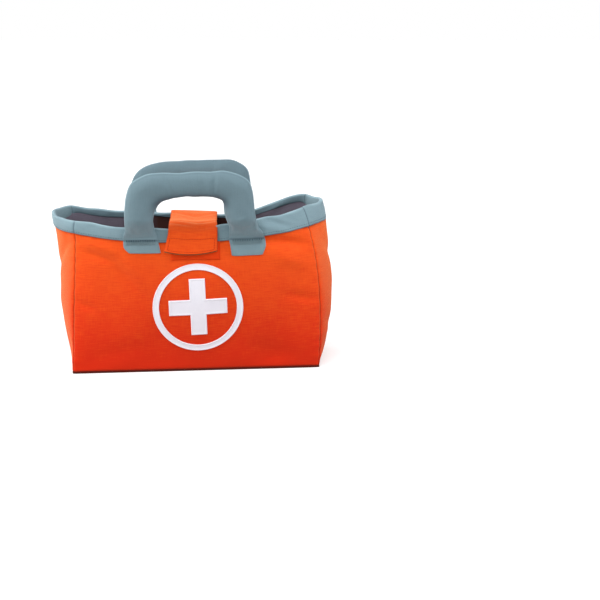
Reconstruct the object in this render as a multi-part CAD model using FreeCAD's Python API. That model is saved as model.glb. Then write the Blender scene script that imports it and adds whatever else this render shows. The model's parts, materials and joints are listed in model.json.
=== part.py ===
"""Toy doctor case: a soft cloth bag with two padded handles and a closing strap.

Frame: millimetres, +Z up, front towards -Y, origin at the middle of the base on the floor.
Every sewn piece is a solid of its own, written to parts/NAME.step.
"""

import FreeCAD, Part
import math
import os

Vector = FreeCAD.Vector
X_AXIS = Vector(1, 0, 0)
Y_AXIS = Vector(0, 1, 0)
Z_AXIS = Vector(0, 0, 1)

# Cloth, board and clearances
canvas = 1.6
lining = 1.0
board = 2.0
applique = 0.8
fastener_tape = 1.4
layer_gap = 0.3

# Body: the base, the rim and how far each wall bows out
base_width = 300.0
base_depth = 120.0
rim_height = 178.0
rim_tilt = 5.5
front_rim_sag = 12.0
back_rim_sag = 16.0
band_height = 17.5
band_height_tilt = 3.5
front_bow = 22.0
front_belly = 7.0
back_bow = 6.0
back_belly = 5.0
left_bow = 11.0
left_belly = 14.0
right_bow = -2.0
right_belly = 25.0
front_left_lean = 8.6
front_right_lean = 20.0
back_right_lean = 3.0
back_left_lean = -5.0

# Exponents of the wall's curves, and the columns and rows that a wall is lofted through
straight_seam_power = 1.0
curled_seam_power = 3.4
panel_bow_power = 1.3
panel_flat_power = 3.0
gusset_bow_power = 3.0
gusset_belly_power = 4.0
round_power = 2.0
wall_column_shares = (0.0, 0.04, 0.15, 0.33, 0.5, 0.67, 0.85, 0.96, 1.0)
wall_row_shares = (0.0, 0.25, 0.5, 0.75, 1.0)

# Emblem on the front panel
emblem_height = 79.5
emblem_offset = 2.0
ring_diameter = 108.0
ring_band = 8.4
cross_span = 69.5
cross_arm = 19.0
cross_turn_deg = 2.4

# Padded handles: a stuffed tube that flattens into two sewn tabs
handle_tab_spacing = 126.0
handle_leg_spacing = 115.0
handle_height = 66.5
handle_corner = 24.0
handle_leg_half_width = 15.5
handle_bar_half_width = 13.3
handle_half_depth = 11.5
handle_fold_half = 2.0
handle_cloth = 1.2
handle_fill_start = 13.0
handle_lean_deg = 9.0
front_handle_skew = -7.0
back_handle_skew = 0.0
tab_width = 44.0
tab_length = 15.5
tab_corner = 7.0
tab_cloth = 1.6

# Shares of the leg where the tube swells from the fold, and its half width and half depth there
neck_height_shares = (0.0, 0.1, 0.22, 0.38, 0.6, 0.8)
neck_width_shares = (1.0, 0.86, 0.56, 0.22, 0.04, 0.0)
neck_depth_shares = (0.0, 0.08, 0.3, 0.68, 0.95, 1.0)
bar_section_shares = (0.7, 0.25)
fold_bar_width_share = 0.5
fold_bar_round_share = 0.8
ring_points = 12
edge_shares = (-0.5, -0.25, 0.0, 0.25, 0.5)
halving_limit_share = 1e-7

# Closing strap: sewn behind, over the mouth, down the front
strap_cloth = 2.4
strap_front_offset = -6.0
strap_back_offset = 2.5
strap_front_width = 64.0
strap_back_width = 59.0
anchor_length = 30.0
flap_length = 38.0
flap_sag = 3.5
flap_corner = 4.0
flap_tilt_deg = 6.5
hook_width = 54.0
hook_height = 15.0
hook_margin = 5.0
loop_width = 58.0
loop_height = 22.0
loop_show = 4.7

# Values worked out from the sizes above
base_top = canvas
shell = canvas + layer_gap + lining
neck_fold_gap = handle_fold_half + layer_gap
strap_half = strap_cloth / 2


class Wall:
    """One side of the bag between two corner seams, along which t runs from 0 to 1."""

    def __init__(self, start, end, outward, bow, belly, is_panel):
        self.start = start
        self.end = end
        self.outward = outward
        self.bow = bow
        self.belly = belly
        self.is_panel = is_panel


class Corner:
    """A corner seam: it stands on a corner of the base and leans in along the corner's diagonal."""

    def __init__(self, side_x, side_y, lean, power):
        self.side = Vector(side_x, side_y, 0)
        self.lean = lean
        self.power = power

    def plan(self, share):
        lean = self.lean * share**self.power
        return Vector(
            self.side.x * (base_width / 2 - lean),
            self.side.y * (base_depth / 2 - lean),
            0,
        )

    def rim(self):
        sag = front_rim_sag if self.side.y < 0 else back_rim_sag
        return rim_height + rim_tilt * self.side.x + sag

    def band(self):
        return band_height + band_height_tilt * self.side.x


front_left = Corner(-1, -1, front_left_lean, straight_seam_power)
front_right = Corner(1, -1, front_right_lean, curled_seam_power)
back_right = Corner(1, 1, back_right_lean, straight_seam_power)
back_left = Corner(-1, 1, back_left_lean, straight_seam_power)

front = Wall(front_left, front_right, Vector(0, -1, 0), front_bow, front_belly, True)
right = Wall(front_right, back_right, Vector(1, 0, 0), right_bow, right_belly, False)
back = Wall(back_right, back_left, Vector(0, 1, 0), back_bow, back_belly, True)
left = Wall(back_left, front_left, Vector(-1, 0, 0), left_bow, left_belly, False)


def rim_top(wall, t):
    """Height of the rim: a parabola that sags along the panels, a straight slope on the gussets."""
    start, end = wall.start.rim(), wall.end.rim()
    chord = start + (end - start) * t
    if not wall.is_panel:
        return chord
    return chord - (chord - rim_height - rim_tilt * across(wall, t)) * (1 - (2 * t - 1) ** 2)


def across(wall, t):
    """Where t lies from the left end (-1) to the right end (1) of the bag."""
    return wall.start.side.x + (wall.end.side.x - wall.start.side.x) * t


def band_line(wall, t):
    """Height of the seam between the canvas and the rim band."""
    return rim_top(wall, t) - band_height - band_height_tilt * across(wall, t)


def bow_at(wall, t, share):
    """How far the wall stands out of the straight line between its two seams.

    The bow grows up to the rim. The belly is a panel's arch between base and rim, and on a gusset
    it rises fast from the base and then stays.
    """
    u = abs(2 * t - 1)
    rounded = 1 - u**round_power
    if wall.is_panel:
        bow = wall.bow * share**panel_bow_power * (1 - u**panel_flat_power)
        return bow + wall.belly * 4 * share * (1 - share) * rounded
    bow = wall.bow * share**gusset_bow_power
    return (bow + wall.belly * (1 - (1 - share) ** gusset_belly_power)) * rounded


def inward(wall, t):
    """Direction of the wall's thickness: square to the wall, and along the mitre at its two seams."""
    if t <= 0:
        return wall.start.side * -1
    if t >= 1:
        return wall.end.side * -1
    return wall.outward * -1


def seam_shift(wall, t):
    """Half of the clearance between two walls that meet in a corner seam."""
    along = (wall.end.side - wall.start.side) * (layer_gap / 4)
    if t <= 0:
        return along
    if t >= 1:
        return along * -1
    return Vector(0, 0, 0)


def wall_point(wall, t, z, depth):
    """A point of the wall at height z, depth millimetres inside its outer face."""
    share = min(max((z - base_top) / (rim_top(wall, t) - base_top), 0), 1)
    start, end = wall.start.plan(share), wall.end.plan(share)
    plan = start + (end - start) * t + wall.outward * bow_at(wall, t, share)
    return plan + inward(wall, t) * depth + seam_shift(wall, t) + Z_AXIS * z


def sheet_face(wall, columns, low, high, depth):
    """The face of a sheet at one depth, through a grid of the wall's points."""
    grid = []
    for t in columns:
        rows = [low(t) + (high(t) - low(t)) * row for row in wall_row_shares]
        grid.append([wall_point(wall, t, z, depth) for z in rows])
    surface = Part.BSplineSurface()
    surface.interpolate(grid)
    return surface.toShape()


def wall_sheet(wall, low, high, outer, inner, t_from=0.0, t_to=1.0):
    """A sheet of cloth in the wall, between two depths and two heights, each height a function of t."""
    columns = [t_from + (t_to - t_from) * share for share in wall_column_shares]
    near = sheet_face(wall, columns, low, high, outer)
    far = sheet_face(wall, columns, low, high, inner)
    sides = [Part.makeRuledSurface(a, b) for a, b in zip(near.Edges, far.Edges)]
    shell_of_sheet = Part.makeShell([near, far] + sides)
    shell_of_sheet.sewShape()
    solid = Part.makeSolid(shell_of_sheet)
    if solid.Volume < 0:
        solid.reverse()
    return solid


def prism(points, start_y, length):
    """A polygon in the XZ plane carried along +Y."""
    face = Part.Face(Part.makePolygon(points + points[:1]))
    face.translate(Y_AXIS * start_y)
    return face.extrude(Y_AXIS * length)


def level(z):
    """A height that is the same all along a wall."""
    return lambda t: z


def t_of(wall, x, z):
    """The share t of a front or back wall at a given x, found by halving."""
    low, high = 0.0, 1.0
    rising = wall.end.side.x > wall.start.side.x
    while high - low > halving_limit_share:
        middle = (low + high) / 2
        if (wall_point(wall, middle, z, 0).x < x) == rising:
            low = middle
        else:
            high = middle
    return low


def face_y(wall, x, z):
    """Where the wall's outer face is at a given x and height."""
    return wall_point(wall, t_of(wall, x, z), z, 0).y


def patch(wall, outline, cloth):
    """A flat outline, cut from cloth that lies on the outside of a front or back wall."""
    xs = [p.x for p in outline]
    zs = [p.z for p in outline]
    middle = (min(zs) + max(zs)) / 2
    ends = sorted(t_of(wall, x, middle) for x in (min(xs) - cloth, max(xs) + cloth))
    sheet = wall_sheet(
        wall, level(min(zs) - cloth), level(max(zs) + cloth), -layer_gap - cloth, -layer_gap, *ends
    )
    return sheet.common(prism(outline, wall.outward.y * base_depth - base_depth / 2, base_depth))


def rounded_outline(width, height, foot, corner, centre_x):
    """A rectangle standing on foot, with its two lower corners cut by short arcs of points."""
    turns = [math.radians(a) for a in (0, 30, 60, 90)]
    left_x, right_x = centre_x - width / 2, centre_x + width / 2
    right_arc = [
        Vector(right_x - corner + corner * math.sin(a), 0, foot + corner - corner * math.cos(a))
        for a in turns
    ]
    left_arc = [
        Vector(left_x + corner - corner * math.cos(a), 0, foot + corner - corner * math.sin(a))
        for a in turns
    ]
    top = foot + height
    return right_arc + [Vector(right_x, 0, top), Vector(left_x, 0, top)] + left_arc


# Shell, lining, base and rim band


def shell_pieces():
    """Four canvas walls and their lining, each up to the band's seam, and the band above it."""
    pieces = {}
    named = {"front": front, "back": back, "left": left, "right": right}
    for name, wall in named.items():
        kind = "panel" if wall.is_panel else "gusset"
        seam = lambda t, wall=wall: band_line(wall, t)
        over_seam = lambda t, wall=wall: band_line(wall, t) + layer_gap
        top = lambda t, wall=wall: rim_top(wall, t)
        pieces[f"{name}_{kind}"] = wall_sheet(wall, level(base_top), seam, 0, canvas)
        pieces[f"lining_{name}"] = wall_sheet(
            wall, level(base_top), seam, canvas + layer_gap, shell
        )
        pieces[f"rim_band_{name}"] = wall_sheet(wall, over_seam, top, 0, shell)
    return pieces


def base_pieces():
    """The canvas base, the board that keeps it flat and the lining over the board."""
    inset = shell + layer_gap
    width, depth = base_width - 2 * inset, base_depth - 2 * inset
    board_foot = base_top
    lining_foot = board_foot + board
    return {
        "base_panel": Part.makeBox(
            base_width, base_depth, canvas, Vector(-base_width / 2, -base_depth / 2, 0)
        ),
        "base_board": Part.makeBox(width, depth, board, Vector(-width / 2, -depth / 2, board_foot)),
        "lining_base": Part.makeBox(
            width, depth, lining, Vector(-width / 2, -depth / 2, lining_foot)
        ),
    }


# Emblem


def emblem_pieces():
    """A ring and a cross, cut from white cloth and sewn flat on the front panel."""
    ring_half = ring_diameter / 2
    low, high = emblem_height - ring_half, emblem_height + ring_half
    reach = ring_half + ring_band
    ends = [t_of(front, emblem_offset + x, emblem_height) for x in (-reach, reach)]
    cloth = wall_sheet(
        front,
        level(low - ring_band / 2),
        level(high + ring_band / 2),
        -layer_gap - applique,
        -layer_gap,
        *ends,
    )
    foot = Vector(emblem_offset, -base_depth, emblem_height)
    outer = Part.makeCylinder(ring_half, base_depth, foot, Y_AXIS)
    hole = Part.makeCylinder(ring_half - ring_band, base_depth, foot, Y_AXIS)
    span, arm = cross_span / 2, cross_arm / 2
    quarter = [(arm, span), (arm, arm), (span, arm)]
    points = quarter + [(x, -z) for x, z in quarter[::-1]]
    points += [(-x, -z) for x, z in quarter] + [(-x, z) for x, z in quarter[::-1]]
    points = [p for i, p in enumerate(points) if p != points[i - 1]]
    cross = prism([Vector(x, 0, z) for x, z in points], -base_depth, base_depth)
    cross.rotate(Vector(0, 0, 0), Y_AXIS, -cross_turn_deg)
    cross.translate(Vector(emblem_offset, 0, emblem_height))
    return {"emblem_ring": cloth.common(outer.cut(hole)), "emblem_cross": cloth.common(cross)}


# Handles


def tube_sections(skew, shrink):
    """Ellipses along the handle, from the left fold over the bar to the right fold.

    Each is its centre, the direction across the tube in the handle's plane, and its two half sizes.
    The tube's back stays level with the fold, so it swells to the front only.
    """
    tab_half, leg_half = handle_tab_spacing / 2, handle_leg_spacing / 2
    leg_top = handle_height - handle_corner
    sections = []
    for height, wide, deep in zip(neck_height_shares, neck_width_shares, neck_depth_shares):
        z = leg_top * height
        half_width = handle_leg_half_width + (tab_width / 2 - handle_leg_half_width) * wide
        half_depth = handle_fold_half + (handle_half_depth - handle_fold_half) * deep
        x = tab_half + (leg_half - tab_half) * height
        sections.append((x, skew * height, z, 0.0, half_width, half_depth))
    for turn in (0, 22.5, 45, 67.5, 90):
        angle = math.radians(turn)
        x = leg_half - handle_corner + handle_corner * math.cos(angle)
        z = leg_top + handle_corner * math.sin(angle)
        half_width = handle_leg_half_width
        half_width += (handle_bar_half_width - handle_leg_half_width) * turn / 90
        sections.append((x, skew, z, angle, half_width, handle_half_depth))
    bar_half = leg_half - handle_corner
    for share in bar_section_shares:
        upright = math.pi / 2
        section = (bar_half * share, skew, handle_height, upright, handle_bar_half_width, handle_half_depth)
        sections.append(section)
    left_half = [(-x, s, z, math.pi - a, w, d) for x, s, z, a, w, d in sections]
    whole = left_half + sections[::-1]
    return [(x + s, z, a, w - shrink, d - shrink, d) for x, s, z, a, w, d in whole]


def tube(skew, shrink):
    """A loft through the handle's ellipses, in the handle's own frame with the fold along X."""
    ring_angles = [2 * math.pi * i / ring_points for i in range(ring_points)]
    wires = []
    for x, z, angle, half_width, half_depth, full_depth in tube_sections(skew, shrink):
        centre = Vector(x, handle_fold_half - full_depth, z)
        across_tube = Vector(math.cos(angle), 0, math.sin(angle))
        points = [
            centre + across_tube * (half_width * math.cos(a)) - Y_AXIS * (half_depth * math.sin(a))
            for a in ring_angles
        ]
        ring = Part.BSplineCurve()
        ring.interpolate(Points=points, PeriodicFlag=True)
        wires.append(Part.Wire(ring.toShape()))
    return Part.makeLoft(wires, True, False)


def filled_part(shape, start):
    """The part of a tube that lies above a height, where it is wide enough to hold stuffing."""
    wide = base_width
    keep = Part.makeBox(wide, wide, wide, Vector(-wide / 2, -wide / 2, start))
    return shape.common(keep)


def handle_pieces(name, wall, skew):
    """One handle: two sewn tabs on the wall, and the stuffed tube that folds above them."""
    seam = min(band_line(wall, t_of(wall, x, rim_height - band_height)) for x in tab_centres())
    fold = fold_place(wall, seam)
    turned = wall is back

    def placed(shape):
        shape.rotate(Vector(0, 0, 0), X_AXIS, handle_lean_deg)
        if turned:
            shape.rotate(Vector(0, 0, 0), Z_AXIS, 180)
        shape.translate(fold)
        return shape

    bar_width = tab_width * fold_bar_width_share
    bar_radius = handle_fold_half * fold_bar_round_share
    fold_bars = [
        Part.makeCylinder(bar_radius, bar_width, Vector(x - bar_width / 2, 0, 0), X_AXIS)
        for x in tab_centres()
    ]
    hollow = filled_part(tube(skew, handle_cloth), handle_fill_start)
    cover = tube(skew, 0).fuse(fold_bars).cut(hollow)
    stuffing = filled_part(
        tube(skew, handle_cloth + layer_gap), handle_fill_start + layer_gap
    )
    pieces = {
        f"{name}_handle_cover": placed(cover),
        f"{name}_handle_stuffing": placed(stuffing),
    }
    for side, x in zip(("left", "right"), tab_centres()):
        top = fold.z - neck_fold_gap
        outline = rounded_outline(tab_width, tab_length, top - tab_length, tab_corner, x)
        pieces[f"{name}_handle_{side}_tab"] = patch(wall, outline, tab_cloth)
    return pieces


def tab_centres():
    return (-handle_tab_spacing / 2, handle_tab_spacing / 2)


def fold_place(wall, seam):
    """The handle's fold line: clear of the wall at both tabs, just above the band's seam."""
    z = seam + neck_fold_gap
    faces = [outermost(wall, x, tab_width, z) for x in tab_centres()]
    face = max(faces, key=lambda y: y * wall.outward.y)
    return Vector(0, face + wall.outward.y * neck_fold_gap, z)


# Closing strap


def outermost(wall, centre_x, width, z):
    """How far out a front or back wall stands, over a width at one height."""
    places = [face_y(wall, centre_x + width * share, z) for share in edge_shares]
    return max(places, key=lambda y: y * wall.outward.y)


def highest_rim(wall, centre_x, width):
    """The highest point of a front or back rim, over a width."""
    return max(
        rim_top(wall, t_of(wall, centre_x + width * share, rim_height)) for share in edge_shares
    )


def strap_places():
    """The two folds of the strap, over the back rim and the front rim.

    The front fold stands far enough out for the flap's hook tape to lie on the loop tape.
    """
    ends = (back, strap_back_offset, strap_back_width), (front, strap_front_offset, strap_front_width)
    z = max(highest_rim(*end) for end in ends) + layer_gap + strap_half
    back_y, front_y = [
        outermost(*end, rim_height) + end[0].outward.y * (layer_gap + strap_half) for end in ends
    ]
    drop = flap_length - hook_margin - hook_height
    tapes = 2 * (fastener_tape + layer_gap) + layer_gap + strap_half
    hook_y = outermost(front, 0, loop_width, z - drop) - tapes
    front_y = min(front_y, hook_y + drop * math.sin(math.radians(flap_tilt_deg)))
    return Vector(strap_back_offset, back_y, z), Vector(strap_front_offset, front_y, z)


def rounded_bar(width, fold):
    """The round fold of the strap, as a bar along X."""
    return Part.makeCylinder(strap_half, width, fold - X_AXIS * width / 2, X_AXIS)


def strap_pieces():
    """The sewn end behind, the bridge over the mouth, the flap, and the tape that fastens it."""
    back_fold, front_fold = strap_places()
    fold_gap = strap_half + layer_gap

    anchor_top = back_fold.z - fold_gap
    anchor = rounded_outline(
        strap_back_width, anchor_length, anchor_top - anchor_length, flap_corner, back_fold.x
    )

    front_half, back_half = strap_front_width / 2, strap_back_width / 2
    bridge_front = front_fold.y + fold_gap
    bridge = [
        Vector(front_fold.x - front_half, bridge_front, 0),
        Vector(front_fold.x + front_half, bridge_front, 0),
        Vector(back_fold.x + back_half, back_fold.y, 0),
        Vector(back_fold.x - back_half, back_fold.y, 0),
    ]
    bridge_face = Part.Face(Part.makePolygon(bridge + bridge[:1]))
    bridge_face.translate(Z_AXIS * (back_fold.z - strap_half))
    bridge_plate = bridge_face.extrude(Z_AXIS * strap_cloth)

    flap = flap_plate(front_fold)
    hook = Part.makeBox(
        hook_width,
        fastener_tape,
        hook_height,
        front_fold
        + Vector(-hook_width / 2, strap_half, -flap_length + hook_margin),
    )
    for piece in (flap, hook):
        piece.rotate(front_fold, X_AXIS, -flap_tilt_deg)

    loop_foot = front_fold.z - flap_length - loop_show
    loop_outline = rounded_outline(loop_width, loop_height, loop_foot, flap_corner, 0)
    return {
        "strap_anchor": patch(back, anchor, strap_cloth),
        "closure_strap": bridge_plate.fuse(rounded_bar(strap_back_width, back_fold)),
        "closure_flap": flap,
        "hook_patch": hook,
        "loop_patch": patch(front, loop_outline, fastener_tape),
    }


def flap_plate(fold):
    """The hanging flap: a plate with a lower edge that sags in an arc, under a round fold."""
    half = strap_front_width / 2
    foot = -flap_length + flap_sag
    corners = [Vector(-half, 0, 0), Vector(-half, 0, foot), Vector(half, 0, foot), Vector(half, 0, 0)]
    lowest = Vector(0, 0, -flap_length)
    edges = [
        Part.LineSegment(corners[0], corners[1]).toShape(),
        Part.Arc(corners[1], lowest, corners[2]).toShape(),
        Part.LineSegment(corners[2], corners[3]).toShape(),
        Part.LineSegment(corners[3], corners[0]).toShape(),
    ]
    face = Part.Face(Part.Wire(edges))
    face.translate(fold - Y_AXIS * strap_half)
    return face.extrude(Y_AXIS * strap_cloth).fuse(rounded_bar(strap_front_width, fold))


def main():
    os.makedirs("parts", exist_ok=True)
    pieces = {}
    pieces.update(shell_pieces())
    pieces.update(base_pieces())
    pieces.update(emblem_pieces())
    pieces.update(handle_pieces("front", front, front_handle_skew))
    pieces.update(handle_pieces("back", back, back_handle_skew))
    pieces.update(strap_pieces())
    for name, shape in pieces.items():
        solids = Part.makeCompound(shape.Solids)
        box = solids.BoundBox
        print(
            f"{name}: {len(shape.Solids)} solid, valid {shape.isValid()}, {shape.Volume:.0f} mm3, "
            f"x {box.XMin:.1f} {box.XMax:.1f} y {box.YMin:.1f} {box.YMax:.1f} "
            f"z {box.ZMin:.1f} {box.ZMax:.1f}"
        )
        solids.exportStep(f"parts/{name}.step")
    back_fold, front_fold = strap_places()
    print("strap folds", back_fold, front_fold)
    for name, wall in (("front", front), ("back", back)):
        seam = min(band_line(wall, t_of(wall, x, rim_height - band_height)) for x in tab_centres())
        print(name, "handle fold", fold_place(wall, seam))


main()
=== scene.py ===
import json
import math

import bmesh
import bpy
import numpy as np
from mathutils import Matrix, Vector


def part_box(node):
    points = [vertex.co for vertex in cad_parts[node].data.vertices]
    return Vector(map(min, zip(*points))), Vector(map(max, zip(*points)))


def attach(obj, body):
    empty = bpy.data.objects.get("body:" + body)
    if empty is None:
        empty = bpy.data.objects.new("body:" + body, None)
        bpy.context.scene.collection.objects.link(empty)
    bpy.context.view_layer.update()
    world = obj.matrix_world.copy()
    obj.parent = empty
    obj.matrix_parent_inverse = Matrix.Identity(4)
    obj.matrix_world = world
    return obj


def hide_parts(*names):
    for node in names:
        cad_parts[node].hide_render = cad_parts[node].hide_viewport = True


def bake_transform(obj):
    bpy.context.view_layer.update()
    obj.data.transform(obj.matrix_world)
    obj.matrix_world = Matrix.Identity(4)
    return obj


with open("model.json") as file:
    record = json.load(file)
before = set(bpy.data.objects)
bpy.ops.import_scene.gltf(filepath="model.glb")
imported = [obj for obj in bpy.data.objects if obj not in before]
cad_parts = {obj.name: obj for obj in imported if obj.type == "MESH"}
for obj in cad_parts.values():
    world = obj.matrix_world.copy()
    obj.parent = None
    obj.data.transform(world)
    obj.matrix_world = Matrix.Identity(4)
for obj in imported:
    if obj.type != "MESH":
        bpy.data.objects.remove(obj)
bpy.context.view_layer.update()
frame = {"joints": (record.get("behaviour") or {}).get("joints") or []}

MM = 0.001

# Sizes of the bag's walls, the same as the solids have
*half_base, base_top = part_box("base_panel")[1]
rim_height = 178 * MM
rim_tilt = 5.5 * MM
rim_sag = {"front": 12 * MM, "back": 16 * MM}
band_height = 17.5 * MM
band_height_tilt = 3.5 * MM
canvas = 1.6 * MM
lining_out = 1.9 * MM
lining_in = 2.9 * MM
band_cloth = 0.7 * MM
band_roll = 2.1 * MM
band_middle = -1.35 * MM
band_reach = 2.3 * MM
band_stitch_row = 2
panel_bow_power = 1.3
panel_flat_power = 3.0
gusset_bow_power = 3.0
gusset_belly_power = 6.5

# Corner seams: side in x, side in y, lean at the rim, exponent of the lean, bulge half way up
CORNERS = {
    "front_left": (-1, -1, 8.6 * MM, 1.0, 0.0),
    "front_right": (1, -1, 18 * MM, 3.4, 2.2 * MM),
    "back_right": (1, 1, 3 * MM, 1.0, 0.0),
    "back_left": (-1, 1, -5 * MM, 1.0, 0.0),
}
# Walls: first seam, last seam, outward direction, bow at the rim, belly, whether it is a panel
WALLS = {
    "front": ("front_left", "front_right", (0, -1), 22 * MM, 7 * MM, True),
    "right": ("front_right", "back_right", (1, 0), -0.3 * MM, 20.6 * MM, False),
    "back": ("back_right", "back_left", (0, 1), 6 * MM, 5 * MM, True),
    "left": ("back_left", "front_left", (-1, 0), 11 * MM, 14 * MM, False),
}
WALL_NODES = {"front": "front_panel", "right": "right_gusset", "back": "back_panel", "left": "left_gusset"}
SIDE = {"front": 1, "back": -1}
column_step = 0.35 * MM
corner_round = 5.5 * MM
foot_round = 3.0 * MM
foot_roll = 1.4 * MM
welt_height = 3.0 * MM
wall_foot = welt_height - 0.8 * MM
welt_inset = 1.2 * MM
# Where the painted contact shadow on the base's welt starts and how fast it fades
welt_shadow_inset, welt_shadow_fade = 2 * MM, 1.5 * MM
slab_edge = 3 * MM
canvas_lap = 3 * MM
seam_width = 0.8 * MM
canvas_rows, lining_rows = 116, 60

# Soft creases of the cloth, in millimetres: across and height of both ends, depth and width
CREASES = {
    "front": (
        (-137, 148, -104, 137, 2.6, 4.6), (-104, 137, -78, 107, 2.8, 5.4), (-78, 107, -54, 84, 1.9, 6.5),
        (-140, 161, -97, 149, -2.2, 6.0), (-97, 149, -66, 118, -1.7, 7.0), (80, 163, 138, 153, 5.4, 5.6),
        (94, 143, 136, 130, -2.6, 9.0), (108, 94, 143, 86, 2.2, 6.0), (31, 160, 50, 132, 2.6, 4.2),
        (50, 152, 68, 122, -1.4, 6.0), (-141, 88, -126, 78, 2.2, 4.5), (-120, 20, -60, 34, 1.4, 12.0),
        (60, 30, 128, 14, 1.6, 12.0),
    ),
    "right": (
        (-30, 150, 20, 120, 2.4, 8.0), (-44, 60, 10, 30, 1.8, 9.0), (40, 120, 48, 60, 1.4, 6.0),
        (54, 166, 22, 148, 2.6, 5.0), (52, 24, 24, 46, 2.2, 6.0), (-52, 22, -26, 36, 1.6, 6.0),
        (-8, 108, 28, 84, -1.6, 12.0),
    ),
    "back": (
        (-134, 160, -92, 134, 4.4, 6.0), (-92, 134, -64, 102, 3.4, 7.0), (133, 158, 88, 128, 4.2, 6.0),
        (88, 128, 66, 96, 2.8, 7.0), (-60, 141, -80, 104, 2.0, 5.0), (62, 141, 82, 104, 2.0, 5.0),
        (-24, 150, -14, 112, 2.4, 5.0), (30, 150, 20, 114, 2.4, 5.0), (-136, 14, -78, 38, 3.4, 9.0),
        (134, 16, 72, 40, 3.4, 9.0), (-60, 62, 60, 78, -2.6, 18.0),
    ),
    "left": (
        (-30, 140, 30, 110, 2.2, 8.0), (52, 120, 40, 50, 1.6, 7.0), (-54, 160, -22, 136, 2.4, 5.5),
        (-52, 26, -20, 46, 2.0, 6.5), (-20, 92, 20, 66, -1.4, 12.0),
    ),
}
BAND_CREASES = {
    "front": (
        (94, 185, 129, 173, 3.0, 3.0), (82, 179, 118, 170, -1.5, 3.5), (118, 189, 134, 180, 1.6, 2.6),
        (-132, 172, -122, 184, 1.4, 2.6), (-116, 171, -108, 180, 0.9, 2.6),
    ),
    "right": (
        (-20, 184, 8, 196, 1.2, 3.2),
    ),
    "back": (
        (96, 172, 118, 186, 1.2, 3.4), (-112, 170, -96, 184, 1.2, 3.4),
    ),
    "left": (
        (-22, 178, 6, 188, 1.2, 3.2),
    ),
}


# Mesh helpers


def linked(name, data):
    """Puts data into the scene as a new object."""
    holder = bpy.data.objects.new(name, data)
    bpy.context.scene.collection.objects.link(holder)
    return holder


def add_mesh(name, points, quads, material, uv=None, seam=None, tris=(), rub=None):
    """Puts whole arrays into one mesh: its points and faces, a UV in metres, and two values per point.

    The first value deepens the cloth at a point, for its dark seams and as painted shade; the second mixes in
    a paler colour as a painted highlight.
    """
    mesh = bpy.data.meshes.new(name)
    points = np.asarray(points, np.float32).reshape(-1, 3)
    faces = [np.asarray(part, np.int32).reshape(-1, size) for part, size in ((quads, 4), (tris, 3))]
    loops = np.concatenate([part.ravel() for part in faces])
    sizes = np.repeat(np.array((4, 3), np.int32), [len(part) for part in faces])
    mesh.vertices.add(len(points))
    mesh.vertices.foreach_set("co", points.ravel())
    mesh.loops.add(len(loops))
    mesh.loops.foreach_set("vertex_index", loops)
    mesh.polygons.add(len(sizes))
    mesh.polygons.foreach_set("loop_start", np.cumsum(sizes) - sizes)
    mesh.polygons.foreach_set("use_smooth", np.ones(len(sizes), bool))
    mesh.update(calc_edges=True)
    if uv is not None:
        layer = mesh.uv_layers.new(name="weave")
        layer.data.foreach_set("uv", np.asarray(uv, np.float32).reshape(-1, 2)[loops].ravel())
    for attribute, values in (("seam", seam), ("rub", rub)):
        if values is not None:
            layer = mesh.attributes.new(attribute, "FLOAT", "POINT")
            layer.data.foreach_set("value", np.asarray(values, np.float32).ravel())
    mesh.validate()
    mesh.materials.append(material)
    return linked(name, mesh)


def fix_outward(piece):
    """Turns the faces of closed shapes so that they look outwards."""
    shape = bmesh.new()
    shape.from_mesh(piece.data)
    bmesh.ops.recalc_face_normals(shape, faces=shape.faces)
    shape.to_mesh(piece.data)
    shape.free()


def stands_for(piece, body, slot, *nodes):
    """Carries a piece on a body and hides the solids that it replaces; the slot is not used."""
    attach(piece, body)
    if nodes:
        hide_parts(*nodes)


def cells(index):
    """The four corners of every cell in a grid of point numbers, in order round the cell."""
    return np.stack([index[:-1, :-1], index[:-1, 1:], index[1:, 1:], index[1:, :-1]], -1)


def sheet(name, outer, inner, uv, material, seam=None):
    """A closed sheet of cloth between an outer and an inner grid of points, with its rim faces."""
    rows, columns = outer.shape[:2]
    count = rows * columns
    index = np.arange(count).reshape(rows, columns)
    near = cells(index).reshape(-1, 4)
    loop = np.concatenate([index[0], index[1:, -1], index[-1, -2::-1], index[-2:0:-1, 0]])
    after = np.roll(loop, -1)
    rim = np.stack([loop + count, after + count, after, loop], -1)
    quads = np.concatenate([near, near[:, ::-1] + count, rim])
    points = np.concatenate([outer.reshape(-1, 3), inner.reshape(-1, 3)])
    both = np.concatenate([uv.reshape(-1, 2)] * 2)
    edge = None if seam is None else np.concatenate([seam.ravel()] * 2)
    return add_mesh(name, points, quads, material, both, edge)


def ring_quads(rows, around, closed=False):
    """Faces of rings of points carried along a path; closed joins the last ring to the first."""
    index = np.arange(rows * around).reshape(rows, around)
    if closed:
        index = np.concatenate([index, index[:1]])
    return cells(np.concatenate([index, index[:, :1]], 1)).reshape(-1, 4)


def stack(*parts):
    """Joins arrays whose shapes fit together into one array of places."""
    return np.stack(np.broadcast_arrays(*parts), -1)


def run_length(points):
    """How far each row of a grid of points lies along its column from the first row."""
    steps = np.linalg.norm(np.diff(points, axis=0), axis=-1)
    return np.concatenate([np.zeros((1, points.shape[1])), steps.cumsum(0)])


def pillow(across, power, least):
    """1 in the middle and falling to least towards -1 and 1, later for a higher power."""
    return np.sqrt(np.clip(1 - np.abs(across) ** power, least, 1))


def smooth(value):
    """An S-shaped step from 0 to 1."""
    value = np.clip(value, 0, 1)
    return value * value * (3 - 2 * value)


def bell(distance, width):
    """A bump of height 1 that falls off with distance."""
    return np.exp(-((distance / width) ** 2))


def unit(vectors):
    """Vectors scaled to length 1."""
    return vectors / np.maximum(np.linalg.norm(vectors, axis=-1, keepdims=True), 1e-12)


# Materials


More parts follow.
